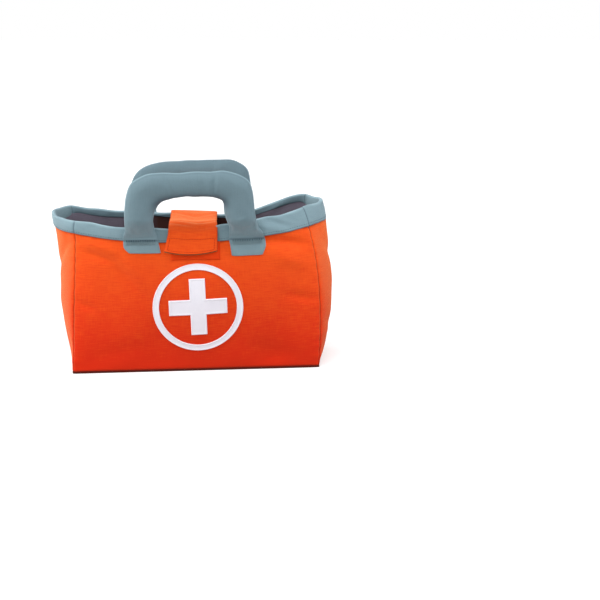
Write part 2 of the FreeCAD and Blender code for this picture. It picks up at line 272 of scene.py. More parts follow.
class Nodes:
    """Adds nodes to the shader of a material or a world, and links them."""

    def __init__(self, owner, last="Principled BSDF"):
        owner.use_nodes = True
        self.owner = owner
        self.tree = owner.node_tree
        self.last = self.tree.nodes[last]

    def put(self, node, inputs):
        """Links or sets a node's inputs, by name or number."""
        for key, value in inputs.items():
            if isinstance(value, bpy.types.NodeSocket):
                self.tree.links.new(value, node.inputs[key])
            else:
                node.inputs[key].default_value = value

    def add(self, kind, inputs=None, **settings):
        """A new node of a kind, with its settings and inputs."""
        node = self.tree.nodes.new("ShaderNode" + kind)
        for key, value in settings.items():
            setattr(node, key, value)
        self.put(node, inputs or {})
        return node

    def math(self, operation, first, second=0.0):
        return self.add("Math", {0: first, 1: second}, operation=operation).outputs[0]

    def weighed(self, *parts):
        """Sum of values, each times its share."""
        total = None
        for value, share in parts:
            part = self.math("MULTIPLY", value, share)
            total = part if total is None else self.math("ADD", total, part)
        return total

    def noise(self, vector, scale, detail=2.0, roughness=0.5):
        inputs = {"Vector": vector, "Scale": scale, "Detail": detail, "Roughness": roughness}
        return self.add("TexNoise", inputs).outputs[0]

    def stretch(self, vector, x, y):
        return self.add("Mapping", {"Vector": vector, "Scale": (x, y, 1.0)}).outputs[0]

    def mix(self, factor, first, second):
        ends = ((*end, 1.0) if isinstance(end, tuple) else end for end in (first, second))
        return self.add("Mix", dict(zip((0, 6, 7), (factor, *ends))), data_type="RGBA").outputs[2]

    def bump(self, height, strength, distance):
        inputs = {"Height": height, "Strength": strength, "Distance": distance}
        return self.add("Bump", inputs).outputs[0]

    def place(self):
        return self.add("TexCoord").outputs["Object"]

    def value(self, attribute):
        return self.add("Attribute", attribute_name=attribute).outputs["Fac"]

    def finish(self, **inputs):
        """Sets the last node's inputs, whose names are given with underscores, and gives the owner."""
        self.put(self.last, {key.replace("_", " "): value for key, value in inputs.items()})
        return self.owner


def woven_cloth(name, colour, shade, deep, pitch, roughness, sheen, sheen_tint, bump=0.35, twill=0.0):
    """Woven cloth on the piece's own UV in metres: crossing threads, slubs along both, soft blotches.

    The weave is the product of two sine waves, one along each thread. Twill shifts the waves along a slant.
    The colour deepens by a value per point, at the seams and as painted shade, and towards the foot of the
    bag as painted shade. Where that value passes 1 it goes darker still, as painted shade; a second value
    mixes in a paler colour as a painted highlight.
    """
    slub_rate, slub_pitch = 70, 0.8 / pitch
    foot_shade_height, foot_shade_depth = 0.15, 0.8
    n = Nodes(bpy.data.materials.new(name))
    uv = n.add("UVMap", uv_map="weave").outputs[0]
    parts = n.add("SeparateXYZ", {"Vector": uv}).outputs
    turn = 2 * math.pi / pitch
    across = n.math("SINE", n.weighed((parts[0], turn), (parts[1], twill * turn)))
    along = n.math("SINE", n.math("MULTIPLY", parts[1], turn))
    weave = n.math("MULTIPLY", across, along)
    weft = n.noise(n.stretch(uv, slub_rate, slub_pitch), 1.0)
    warp = n.noise(n.stretch(uv, slub_pitch, slub_rate), 1.0)
    slub = n.math("ADD", weft, n.math("MULTIPLY", warp, 0.5))
    blotch = n.noise(uv, 30, 3.0, 0.6)
    fade = n.math("SUBTRACT", n.weighed((slub, 0.74), (blotch, 0.3), (weave, 0.14)), 0.03)
    height = n.add("SeparateXYZ", {"Vector": n.place()}).outputs[2]
    # Painted shade: the colour deepens towards the foot of the bag, below the given height.
    low = n.add("MapRange", {0: height, 1: foot_shade_height, 2: 0.0, 3: 0.0, 4: foot_shade_depth}).outputs[0]
    mixed = n.mix(n.math("SUBTRACT", fade, low), shade, colour)
    seam = n.value("seam")
    pale = tuple(min(1.0, 1.5 * part + 0.02) for part in colour)
    # Values past 1 darken the cloth further, as painted shade.
    deepest_shade = tuple(part / 8 for part in deep)
    toned = n.mix(n.math("SUBTRACT", seam, 1.0), n.mix(seam, mixed, deep), deepest_shade)
    # The second value per point mixes in a paler colour, as a painted highlight on edges.
    return n.finish(
        Base_Color=n.mix(n.value("rub"), toned, pale), Roughness=roughness, Specular_IOR_Level=0.15,
        Sheen_Weight=sheen, Sheen_Roughness=0.45, Sheen_Tint=(*sheen_tint, 1.0),
        Normal=n.bump(n.weighed((weave, 0.35), (slub, 0.8)), bump, 0.4 * MM),
    )


def fuzzy_tape(name, colour, shade, scale, roughness, bump):
    """Felt or fastener tape: a fine fuzz of two noises on the object's own coordinates."""
    n = Nodes(bpy.data.materials.new(name))
    place = n.place()
    fuzz = n.noise(place, scale, 4.0, 0.7)
    cloud = n.noise(place, scale / 14)
    return n.finish(
        Base_Color=n.mix(n.weighed((fuzz, 0.7), (cloud, 0.5)), shade, colour), Roughness=roughness,
        Specular_IOR_Level=0.1, Normal=n.bump(fuzz, bump, 0.5 * MM),
    )


def sewing_thread(name, colour, shade):
    """Twisted thread: a fine slanted band pattern on the object's own coordinates."""
    n = Nodes(bpy.data.materials.new(name))
    inputs = {"Vector": n.place(), "Scale": 900.0, "Distortion": 1.5, "Detail": 1.0}
    wave = n.add("TexWave", inputs).outputs[1]
    return n.finish(
        Base_Color=n.mix(wave, shade, colour), Roughness=0.7, Specular_IOR_Level=0.1,
        Normal=n.bump(wave, 0.3, 0.1 * MM),
    )


orange_canvas = woven_cloth(
    "orange_canvas", (0.91, 0.112, 0.010), (0.67, 0.020, 0.002), (0.20, 0.006, 0.001),
    0.9 * MM, 0.85, 0.35, (1.0, 0.75, 0.30),
)
grey_cotton = woven_cloth(
    "grey_cotton", (0.225, 0.330, 0.372), (0.160, 0.245, 0.285), (0.080, 0.130, 0.160),
    0.7 * MM, 0.85, 0.2, (0.8, 0.9, 1.0), 0.3, 0.5,
)
# The lining's deep colour is painted shade, tinted red as painted reflected light from the orange canvas
lining_cotton = woven_cloth(
    "lining_cotton", (0.190, 0.172, 0.222), (0.150, 0.130, 0.165), (0.040, 0.014, 0.011),
    0.7 * MM, 0.9, 0.1, (1.0, 0.6, 0.4),
)
white_felt = fuzzy_tape("white_felt", (0.88, 0.87, 0.93), (0.76, 0.75, 0.84), 1600.0, 0.9, 0.25)
hook_tape = fuzzy_tape("hook_tape", (0.62, 0.070, 0.012), (0.36, 0.035, 0.008), 900.0, 0.6, 0.9)
loop_tape = fuzzy_tape("loop_tape", (0.80, 0.060, 0.006), (0.60, 0.030, 0.004), 1200.0, 0.95, 0.8)
board_fibre = fuzzy_tape("board_fibre", (0.36, 0.33, 0.29), (0.22, 0.20, 0.18), 700.0, 0.95, 0.4)
orange_thread = sewing_thread("orange_thread", (0.58, 0.036, 0.006), (0.40, 0.022, 0.004))
grey_thread = sewing_thread("grey_thread", (0.10, 0.16, 0.19), (0.05, 0.085, 0.11))
pale_thread = sewing_thread("pale_thread", (0.30, 0.40, 0.43), (0.15, 0.22, 0.25))


# The form of the walls


def corner_plan(corner, share):
    """Plan place of a corner seam: from the corner of the base it leans in by lean x share to a power.

    A bulge, an arch between base and rim, takes it out again.
    """
    side_x, side_y, lean, power, bulge = CORNERS[corner]
    inset = lean * share**power - bulge * 4 * share * (1 - share)
    return side_x * (half_base[0] - inset), side_y * (half_base[1] - inset)


def corner_rim(corner):
    """Height of the rim at a corner seam."""
    side_x, side_y = CORNERS[corner][:2]
    return rim_height + rim_tilt * side_x + rim_sag["front" if side_y < 0 else "back"]


def across_bag(wall, t):
    """Where t lies from the left end (-1) to the right end (1) of the bag."""
    first, last = (CORNERS[corner][0] for corner in WALLS[wall][:2])
    return first + (last - first) * t


def rim_line(wall, t):
    """Height of the rim: a parabola that sags along a panel, a straight slope on a gusset."""
    if WALLS[wall][5]:
        u = across_bag(wall, t)
        return rim_height + rim_tilt * u + rim_sag[wall] * u**2
    first, last = (corner_rim(corner) for corner in WALLS[wall][:2])
    return first + (last - first) * t


def band_line(wall, t):
    """Height of the seam between the canvas and the rim band."""
    return rim_line(wall, t) - band_height - band_height_tilt * across_bag(wall, t)


def wall_plan(wall, t, z):
    """Plan place of a wall at share t and height z: the straight line between its seams, plus its bow.

    A panel's bow grows with height to a power, and its belly is an arch between base and rim. A gusset's
    belly rises fast from the base and then stays.
    """
    first, last, outward, bow, belly, is_panel = WALLS[wall]
    share = np.clip((z - base_top) / (rim_line(wall, t) - base_top), 0, 1)
    u = np.abs(2 * t - 1)
    if is_panel:
        out = bow * share**panel_bow_power * (1 - u**panel_flat_power)
        out = out + belly * 4 * share * (1 - share) * (1 - u**2)
    else:
        out = bow * share**gusset_bow_power + belly * (1 - (1 - share) ** gusset_belly_power)
        out = out * (1 - u**2)
    (x0, y0), (x1, y1) = corner_plan(first, share), corner_plan(last, share)
    return x0 + (x1 - x0) * t + outward[0] * out, y0 + (y1 - y0) * t + outward[1] * out


def crease_depth(creases, across, z):
    """Sum of creases: each a bell-shaped groove along a short straight line."""
    total = np.zeros(np.broadcast(across, z).shape)
    for a0, z0, a1, z1, depth, width in creases:
        start = np.array((a0, z0)) * MM
        step = np.array((a1, z1)) * MM - start
        along = ((across - start[0]) * step[0] + (z - start[1]) * step[1]) / (step @ step)
        along = np.clip(along, 0, 1)
        away = np.hypot(across - start[0] - along * step[0], z - start[1] - along * step[1])
        fade = 0.35 + 0.65 * np.sin(np.pi * np.clip(along, 0.02, 0.98))
        total += depth * MM * fade * bell(away, width * MM)
    return total


# Long waves of each wall: six draws of length, slant, start and height
WAVES = {}
for seed, wall in enumerate(WALLS):
    draw = np.random.default_rng(40 + seed)
    WAVES[wall] = draw.uniform((55, -1.2, 0, 0.25), (150, 1.2, 6.28, 0.7), (6, 4))


def soft_waves(wall, across, z):
    """Six long shallow waves in the cloth, each with its own length, slant, start and height."""
    total = 0.0
    for length, slant, start, height in WAVES[wall]:
        phase = (across * math.cos(slant) + z * math.sin(slant)) * 2 * math.pi / (length * MM)
        total = total + height * MM * np.sin(phase + start)
    return total


def wall_relief(wall, across, z):
    """How far the cloth stands out of the plain wall: waves less creases, fading out at the base."""
    relief = soft_waves(wall, across, z) - crease_depth(CREASES[wall] + BAND_CREASES[wall], across, z)
    return relief * smooth((z - base_top) / (14 * MM))


def wall_columns():
    """Fine columns round the whole bag: per wall its shares t, its length and its part of the columns."""
    columns, first = {}, 0
    for wall, (_, _, outward, *_) in WALLS.items():
        length = 2 * half_base[0] if outward[0] == 0 else 2 * half_base[1]
        count = int(round(length / column_step))
        columns[wall] = (np.arange(count) / count, length, slice(first, first + count))
        first += count
    return columns, first


COLUMNS, COLUMN_COUNT = wall_columns()


def round_the_bag(rule, width):
    """A value for every fine column, from a rule of wall and t, rounded over a width."""
    return rounded(np.concatenate([rule(wall, t) for wall, (t, _, _) in COLUMNS.items()]), width)


def rounded(values, widths):
    """Rounds values that run round the bag: a blur of given width per row, done on their waves."""
    rate = np.fft.rfftfreq(values.shape[-1], column_step)
    gain = np.exp(-2 * (np.pi * rate * np.asarray(widths)[..., None]) ** 2)
    return np.fft.irfft(np.fft.rfft(values) * gain, values.shape[-1])


# Where the rim hangs lower than its plain line: wall, place, depth, width to the left and to the right
RIM_DIPS = (
    ("front", 14, 5.0, 24, 22), ("front", -38, 1.4, 50, 30), ("back", 62, 7.5, 60, 42),
    ("back", 150, -2.0, 45, 45), ("front", 116, 1.2, 7, 6), ("front", -128, -1.3, 9, 9),
)


def rim_top(wall, t):
    """The rim line less its dips, each a bell with a width of its own on either side."""
    x = across_bag(wall, t) * half_base[0]
    height = rim_line(wall, t)
    for where, place, depth, left, right in RIM_DIPS:
        if where == wall:
            away = x - place * MM
            height = height - depth * MM * bell(away, np.where(away < 0, left, right) * MM)
    return height


RIM = round_the_bag(rim_top, 7 * MM)
BAND = round_the_bag(band_line, 7 * MM)
# How far the band comes down inside the bag, and how dark it is there
facing_depth = {"front": 9 * MM, "right": 17 * MM, "back": 5 * MM, "left": 15 * MM}
facing_shade = {"front": 0.4, "right": 0.0, "back": 0.8, "left": 0.0}
facing_round = 6 * MM


def facing_rule(wall, t):
    """Depth of the facing, more towards the ends of the back."""
    more = 4 * MM * smooth((np.abs(2 * t - 1) - 0.3) / 0.3)
    return facing_depth[wall] + more * (wall == "back")


def facing_shade_rule(wall, t):
    """Shade of the facing, deepest in the middle of the back."""
    return facing_shade[wall] + 0.6 * bell(2 * t - 1, 0.45) * (wall == "back")


def band_shade_rule(wall, t):
    """Shade of the band's face, in the middle of the front."""
    return 0.32 * bell(2 * t - 1, 0.3) * (wall == "front")


FACING = round_the_bag(facing_rule, facing_round)
FACING_SHADE = round_the_bag(facing_shade_rule, facing_round)
BAND_SHADE = round_the_bag(band_shade_rule, facing_round)
ALONG = np.concatenate([(t - 0.5) * length for t, length, _ in COLUMNS.values()])
CORNER_AWAY = np.concatenate([np.minimum(t, 1 - t) * length for t, length, _ in COLUMNS.values()])


def ripple(length, height, seed):
    """Uneven ripples round the bag: blurred seeded noise, scaled to a height."""
    noise = np.random.default_rng(seed).standard_normal(COLUMN_COUNT)
    noise = rounded(noise, length)
    return noise * height / noise.std()


def shell(z, relief=wall_relief):
    """Points and outward plan directions of the walls at heights z (rows x fine columns).

    The four walls are joined, their corners rounded by a blur that is wider above the base, and the
    relief is added along the outward direction.
    """
    x, y, stand = np.empty_like(z), np.empty_like(z), np.empty_like(z)
    for wall, (t, _, part) in COLUMNS.items():
        x[:, part], y[:, part] = wall_plan(wall, t, z[:, part])
        stand[:, part] = relief(wall, across_metres(wall, t), z[:, part])
    widths = foot_round + (corner_round - foot_round) * smooth(z.mean(1) / (60 * MM))
    x, y = rounded(x, widths), rounded(y, widths)
    stand = rounded(stand, np.full(len(z), 4 * MM))
    run = unit(stack(*(np.roll(plan, -1, 1) - np.roll(plan, 1, 1) for plan in (x, y))))
    out = stack(run[..., 1], -run[..., 0], 0.0)
    return stack(x, y, z) + out * stand[..., None], out


def across_metres(wall, t):
    """Distance along a wall from its middle, positive to +X on the panels and to +Y on the gussets."""
    sign = 1 if wall in ("front", "right") else -1
    return sign * (t - 0.5) * COLUMNS[wall][1]


def kept_columns(wall, every=1):
    """Fine columns that a wall keeps: close together at its seams, wider apart between them."""
    t, _, part = COLUMNS[wall]
    edge = np.cumsum((0, 1, 1, 1, 1, 2, 2, 2, 3, 3, 4, 4))
    middle = np.arange(edge[-1] + 4, len(t) - edge[-1] - 2, 4)
    kept = np.concatenate([edge, middle, len(t) - edge[::-1]])
    kept = np.union1d(kept[::every], kept[-1:])
    return (part.start + kept) % COLUMN_COUNT, kept * column_step


def seam_groove(depth, width):
    """A groove at the four corner seams."""
    return -depth * bell(CORNER_AWAY, width)


# Canvas walls, lining and base


def row_heights(low, high, rows):
    """Rows from low to high, closer together at both ends."""
    step = np.linspace(0, 1, rows)[:, None]
    share = 0.72 * step + 0.28 * smooth(step)
    return low + share * (high - low)


def canvas_walls():
    """Four canvas walls from the base to under the rim band, with seam grooves and small puckers."""
    pucker_height = seam_wave_height = 0.35 * MM
    pucker_reach, seam_wave_reach, seam_wave_length = 9 * MM, 7 * MM, 15 * MM
    foot_rise, line_width = 6 * MM, 1.6 * MM
    edge_tone, band_tone, foot_shadow_tone = 0.6, 0.7, 0.9
    z = row_heights(wall_foot, BAND + canvas_lap, canvas_rows)
    points, out = shell(z)
    puckers = ripple(3.5 * MM, pucker_height, 5) * bell(BAND - z, pucker_reach)
    seam_wave = np.sin(z * 2 * np.pi / seam_wave_length + 3 * np.sin(z * 40))
    seam_wave = seam_wave_height * seam_wave * bell(CORNER_AWAY, seam_wave_reach)
    stand = puckers + seam_wave + seam_groove(1.1 * MM, 1.1 * MM)
    stand = stand - foot_roll * (1 - smooth(z / foot_rise)) ** 1.5
    points = points + out * stand[..., None]
    edge = np.maximum(bell(CORNER_AWAY, seam_width), band_tone * bell(BAND - 1.0 * MM - z, line_width))
    # Painted contact shadow: the cloth darkens along the foot of the walls.
    edge = np.maximum(edge, foot_shadow_tone * bell(z - wall_foot, line_width))
    for wall, node in WALL_NODES.items():
        kept, run = kept_columns(wall)
        outer = points[:, kept]
        inner = outer - out[:, kept] * canvas
        uv = stack(run, z[:, kept])
        piece = sheet(node + "_cloth", outer, inner, uv, orange_canvas, edge_tone * edge[:, kept])
        stands_for(piece, "bag", "orange_canvas", node)


def lining_walls():
    """Four lining walls inside the canvas, from the base to the inner facing of the band."""
    sag_depth, sag_length, sag_start = 0.8 * MM, 70 * MM, 20 * MM
    # Painted shade: the lining darkens lower down in the bag and, as a painted shadow of the strap and
    # handles, in the middle of the back
    dark_tone, dark_below, dark_over = 0.8, 11 * MM, 24 * MM
    shadow_tone, shadow_most, shadow_x, shadow_half = 1.6, 1.2, 2 * MM, 66 * MM
    z = row_heights(base_top + 0.4 * MM, RIM - FACING + 2.5 * MM, lining_rows)
    points, out = shell(z)
    sag = sag_depth * np.sin(z * 2 * np.pi / sag_length + ALONG * 30) * smooth((z - base_top) / sag_start)
    for wall in WALLS:
        kept, run = kept_columns(wall, 2)
        base, away = points[:, kept], out[:, kept]
        drop = np.clip(sag, 0, None)[:, kept, None]
        outer = base - away * lining_out
        inner = base - away * (lining_in + drop)
        dark = dark_tone * smooth((RIM - dark_below - z) / dark_over)[:, kept]
        if wall == "back":
            shadow = shadow_tone * bell(base[..., 0] - shadow_x, shadow_half)
            dark = np.maximum(dark, np.minimum(shadow, shadow_most))
        piece = sheet(f"lining_{wall}_cloth", outer, inner, stack(run, z[:, kept]), lining_cotton, dark)
        stands_for(piece, "bag", "lining_cotton", f"lining_{wall}")


def rounded_slab(name, low, high, power, material, lift, welt, slab_shade):
    """A flat slab with rounded corners: a square grid pulled on to a superellipse, between two heights.

    A welt, where there is one, rises along its edge and is darkened there as a painted contact shadow;
    without one, the whole slab is darkened by the given amount as painted shade.
    """
    half_x, half_y, top = high
    a, b = np.meshgrid(spread(half_x), spread(half_y))
    size = np.maximum(np.abs(a), np.abs(b))
    pull = size / np.maximum((np.abs(a) ** power + np.abs(b) ** power) ** (1 / power), 1e-9)
    x, y = a * pull * half_x, b * pull * half_y
    inset = np.minimum((1 - np.abs(a)) * half_x, (1 - np.abs(b)) * half_y)
    edge = smooth(inset / slab_edge)
    wave = lift * (np.sin(x * 60 + 1) * np.sin(y * 90)) * edge
    if welt:
        rise = (welt - top) * bell(inset - welt_inset, welt_inset)
        # Painted contact shadow along the welt's outer edge
        seam = slab_shade * bell(np.maximum(inset - welt_shadow_inset, 0), welt_shadow_fade)
    else:
        rise = -(1 - edge) * 0.25 * (top - low)
        # Painted shade over the whole slab
        seam = np.full_like(x, slab_shade)
    return sheet(name, stack(x, y, top + rise + wave), stack(x, y, low), stack(x, y), material, seam)


def spread(half):
    """Shares from -1 to 1 that lie close together near both ends of a length."""
    end = np.array((0, 0.4, 0.8, 1.2, 1.6, 2.0, 2.6, 3.4, 5.0)) * MM / half
    return np.concatenate([end - 1, np.linspace(end[-1] - 1, 1 - end[-1], 49)[1:-1], 1 - end[::-1]])


def base_pieces():
    """The canvas base with its welt, the stiff board on it and the lining over the board."""
    # The last number darkens each piece as painted shade
    for node, material, slot, power, lift, welt, slab_shade in (
        ("base_panel", orange_canvas, "orange_canvas", 60, 0.0, welt_height, 1.7),
        ("base_board", board_fibre, "base_board", 40, 0.0, 0.0, 0.0),
        ("lining_base", lining_cotton, "lining_cotton", 30, 0.25 * MM, 0.0, 0.7),
    ):
        low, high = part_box(node)
        piece = rounded_slab(node + "_cloth", low.z, high, power, material, lift, welt, slab_shade)
        stands_for(piece, "bag", slot, node)


# Rim band

# Where the band is pressed: wall, middle across, half length and how far
PRESSED = (
    ("front", -6, 36, 0.9), ("back", 2.5, 33, 0.9),
    *((wall, middle, 22, 0.6) for wall in SIDE for middle in (-63, 63)),
)


def band_relief(wall, across, z):
    """How far the band stands out of the plain wall: waves less its own creases."""
    return soft_waves(wall, across, z) - crease_depth(BAND_CREASES[wall], across, z)


def pressed():
    """How far the band is pressed flat, 0 to 1, under the strap and the handles' folds."""
    amount = np.zeros(COLUMN_COUNT)
    for wall, middle, half, share in PRESSED:
        t, _, part = COLUMNS[wall]
        away = np.abs(across_metres(wall, t) - middle * MM) - half * MM
        amount[part] = np.maximum(amount[part], share * (1 - smooth(away / (8 * MM))))
    return amount


def rim_band():
    """The grey band folded over the rim: one closed profile per column, carried round the bag.

    The profile climbs the outside, rolls over the top and comes down the inside, then returns on the hidden
    side of the cloth. Ripples move its top and its puffed outer face.
    """
    turn = np.radians(np.linspace(0, 180, 12))[1:-1, None]
    climb = np.linspace(0, 1, 13)[:, None]
    band_lap, flat_out, loose_out, puff_out = 0.9 * MM, 0.3 * MM, 0.65 * MM, 0.9 * MM
    facing_start, highlight_width = 3 * MM, 1.6 * MM
    foot = BAND - band_lap + ripple(3 * MM, 0.12 * MM, 11)
    top = RIM + ripple(9 * MM, 0.55 * MM, 12) - band_roll
    inner_foot = RIM - FACING + ripple(12 * MM, 0.5 * MM, 13)
    full = 1 - pressed()
    puff = (puff_out + ripple(7 * MM, 0.35 * MM, 14)) * full * np.sin(np.pi * climb) ** 0.7
    outside = flat_out + loose_out * full + puff
    inside = band_middle - band_reach - 0.7 * puff

    def profile(cloth):
        """Heights and outward places of the fold, moved in from its face by a thickness of cloth."""
        heights = (
            foot + climb * (top - foot),
            top + (band_roll - cloth) * np.sin(turn),
            top + climb * (inner_foot - top),
        )
        over = band_middle + (band_reach - cloth) * np.cos(turn) + 0 * top
        return np.concatenate(heights), np.concatenate((outside - cloth, over, inside + cloth))

    both_sides = zip(profile(0.0), profile(band_cloth))
    z, stand = (np.concatenate([face, hidden[::-1]]) for face, hidden in both_sides)
    points, out = shell(z, band_relief)
    stand = stand + seam_groove(0.7 * MM, 1.2 * MM) * np.sign(stand - band_middle)
    points = points + out * stand[..., None]
    height = run_length(points)
    around = len(z)
    edge = bell(CORNER_AWAY, seam_width) * np.ones_like(z)
    edge[[0, -1]] = 1.0
    facing = slice(len(climb) + len(turn), around // 2)
    below_top = smooth((top + band_roll - z[facing]) / facing_start)
    edge[facing] = np.maximum(edge[facing], FACING_SHADE * below_top)
    edge[:len(climb)] = np.maximum(edge[:len(climb)], BAND_SHADE)
    # Painted highlight along the top of the rolled rim, patchy along its length
    patchy = 1 + 0.5 * np.clip(ripple(6 * MM, 1.0, 15), -1, 1)
    top_highlight = 0.5 * bell(z - top - band_roll, highlight_width) * patchy
    step = np.arange(around // 2 - 1)
    cap = np.stack([step, step + 1, around - 2 - step, around - 1 - step], -1)
    for wall in WALLS:
        kept, run = kept_columns(wall)
        ring = points[:, kept].transpose(1, 0, 2)
        far = (len(kept) - 1) * around
        quads = np.concatenate([ring_quads(len(kept), around)[:, ::-1], cap, cap[:, ::-1] + far])
        uv = stack(run[:, None], height[:, kept].T)
        seam, rub = 0.8 * edge[:, kept].T, top_highlight[:, kept].T
        piece = add_mesh(f"rim_band_{wall}_cloth", ring, quads, grey_cotton, uv, seam, rub=rub)
        fix_outward(piece)
        stands_for(piece, "bag", "grey_cotton", f"rim_band_{wall}")
    band_stitches(points[band_stitch_row], out[band_stitch_row])


# Places on the front and back panels


def skin(wall, x, z):
    """The outer face of the front or back panel at given x and z, with its waves and creases."""
    first, last, outward = WALLS[wall][:3]
    t = (x * SIDE[wall] + half_base[0]) / (2 * half_base[0])
    for _ in range(3):
        share = np.clip((z - base_top) / (rim_line(wall, t) - base_top), 0, 1)
        start, end = corner_plan(first, share)[0], corner_plan(last, share)[0]
        t = (x - start) / (end - start)
    y = wall_plan(wall, t, z)[1] + outward[1] * wall_relief(wall, across_metres(wall, t), z)
    return stack(x, y, z)


def skin_out(wall, x, z):
    """Outward direction of a panel's face, from the slopes of skin() over a short step."""
    step = 1.5 * MM
    along = skin(wall, x + step, z) - skin(wall, x - step, z)
    up = skin(wall, x, z + step) - skin(wall, x, z - step)
    return unit(np.cross(along, up)) * SIDE[wall]


def on_skin(wall, x, z, lift):
    """Points that lie a given distance outside a panel."""
    return skin(wall, x, z) + skin_out(wall, x, z) * np.asarray(lift)[..., None]


# Stitches


def stitches(name, row, length, width, material, body, slot):
    """Thread stitches at the places, runs and outward directions of a row, all in one mesh.

    Each is a short tapered tube that lies along its run and dips in at both ends.
    """
    tall = 0.55
    stations = np.linspace(-1, 1, 5)[:, None]
    angles = np.arange(6) * np.pi / 3
    taper = np.sqrt(1 - 0.82 * stations**2)
    along = stations * np.ones(6)
    side = taper * np.cos(angles)
    rise = taper * np.sin(angles) * tall - 0.5 * tall * stations**2
    places = row[0]
    runs, outs = unit(row[1]), unit(row[2])
    points = (
        places[:, None, None]
        + runs[:, None, None] * (along * length / 2)[..., None]
        + np.cross(outs, runs)[:, None, None] * (side * width / 2)[..., None]
        + outs[:, None, None] * (rise * width)[..., None]
    )
    ends = np.array(((3, 2, 1, 0), (5, 4, 3, 0), (24, 25, 26, 27), (24, 27, 28, 29)))
    one = np.concatenate([ring_quads(5, 6), ends])[:, ::-1]
    quads = (one + 30 * np.arange(len(places))[:, None, None]).reshape(-1, 4)
    piece = add_mesh(name, points, quads, material)
    fix_outward(piece)
    stands_for(piece, body, slot)


def row_on_skin(wall, start, end, pitch, lift):
    """Places, runs and outward directions of a straight stitch row on a panel, from (x, z) to (x, z)."""
    start, end = np.array(start), np.array(end)
    count = int(np.hypot(*(end - start)) / pitch)
    share = (np.arange(count) + 0.5) / count
    x, z = start[0] + (end[0] - start[0]) * share, start[1] + (end[1] - start[1]) * share
    places = on_skin(wall, x, z, np.full(count, lift))
    step = (end - start) / count / 2
    runs = skin(wall, x + step[0], z + step[1]) - skin(wall, x - step[0], z - step[1])
    return places, runs, skin_out(wall, x, z)


def joined(rows):
    """Several stitch rows as one."""
    return [np.concatenate(parts) for parts in zip(*rows)]


def band_stitches(line, out):
    """A row of small stitches along a line on the band's face, all round the bag."""
    step = int(3.2 * MM / column_step)
    runs = np.roll(line, -3, 0) - np.roll(line, 3, 0)
    row = [values[::step] for values in (line + out * (0.1 * MM), runs, out)]
    stitches("band_stitches", row, 2.3 * MM, 0.55 * MM, grey_thread, "bag", "grey_cotton")


# Emblem


emblem_x, emblem_z = 2.0 * MM, 80.6 * MM
cross_rise = 1.2 * MM
ring_radius = 54 * MM
ring_band = 7.7 * MM
ring_stations = 720
ring_threads = 360
cross_half = 34.75 * MM
arm_half = 9.5 * MM
cross_turn = math.radians(2.0)
felt_lift = 0.75 * MM
felt_under = 0.05 * MM
satin_rise = 0.5 * MM
satin_thread = 0.16


def emblem_ring():
    """The white ring: a flat profile with two raised satin edges, carried round on the front panel."""
    angle = np.arange(ring_stations)[:, None] * 2 * np.pi / ring_stations
    face = 15
    across = np.concatenate([np.linspace(0, 1, face), np.linspace(1, 0, 6)[1:-1]])
    ridge = bell(across - 0.1, 0.09) + bell(across - 0.9, 0.09)
    thread = np.sin(angle * ring_threads)
    raised = felt_lift + satin_rise * ridge * (1 + satin_thread * thread)
    lift = np.where(np.arange(len(across)) < face, raised, felt_under)
    lift[:, [0, face - 1]] = 0.45 * MM
    radius = ring_radius - ring_band * (1 - across) + 0.12 * MM * thread * (ridge > 0.2)
    x, z = emblem_x + radius * np.cos(angle), emblem_z + radius * np.sin(angle)
    quads = ring_quads(ring_stations, len(across), closed=True)
    piece = add_mesh("emblem_ring_cloth", on_skin("front", x, z, lift), quads, white_felt)
    fix_outward(piece)
    stands_for(piece, "bag", "white_felt", "emblem_ring")


def emblem_cross():
    """The white plus: a square grid of which only the two arms are kept, with raised satin edges."""
    arm = np.linspace(-cross_half, -arm_half, 34)
    lines = np.concatenate([arm, np.linspace(-arm_half, arm_half, 28)[1:-1], -arm[::-1]])
    a, b = np.meshgrid(lines, lines)
    edge = np.maximum(
        np.minimum(cross_half - np.abs(a), arm_half - np.abs(b)),
        np.minimum(arm_half - np.abs(a), cross_half - np.abs(b)),
    )
    thread = 1 + satin_thread * np.sin((a + b) * 2 * np.pi / (1.3 * MM))
    lift = felt_lift + satin_rise * bell(edge - 1.1 * MM, 0.9 * MM) * thread
    lift = lift - 0.35 * MM * bell(edge, 0.35 * MM)
    x = emblem_x + a * math.cos(cross_turn) - b * math.sin(cross_turn)
    z = emblem_z + cross_rise + a * math.sin(cross_turn) + b * math.cos(cross_turn)
    upper, under = on_skin("front", x, z, lift), on_skin("front", x, z, np.full_like(a, felt_under))
    middle = (lines[1:] + lines[:-1]) / 2
    ca, cb = np.meshgrid(middle, middle)
    inside = (np.abs(ca) < arm_half) | (np.abs(cb) < arm_half)
    piece = add_mesh("emblem_cross_cloth", *cut_sheet(upper, under, inside), white_felt)
    fix_outward(piece)
    stands_for(piece, "bag", "white_felt", "emblem_cross")


def cut_sheet(upper, under, inside):
    """Points and faces of a sheet that keeps only the inside cells of its grid, closed along the cut."""
    rows, columns = upper.shape[:2]
    count = rows * columns
    grid = cells(np.arange(count).reshape(rows, columns))
    top = grid[inside]
    padded = np.pad(inside, 1)
    walls = []
    for shift_row, shift_column, start, end in ((-1, 0, 0, 1), (0, 1, 1, 2), (1, 0, 2, 3), (0, -1, 3, 0)):
        beside = np.roll(padded, (-shift_row, -shift_column), (0, 1))[1:-1, 1:-1]
        cut = grid[inside & ~beside]
        walls.append(np.stack([cut[:, start], cut[:, end], cut[:, end] + count, cut[:, start] + count], -1))
    quads = np.concatenate([top, top[:, ::-1] + count, *walls])
    used, new = np.unique(quads, return_inverse=True)
    points = np.concatenate([upper.reshape(-1, 3), under.reshape(-1, 3)])[used]
    return points, new.reshape(quads.shape)


# Handles


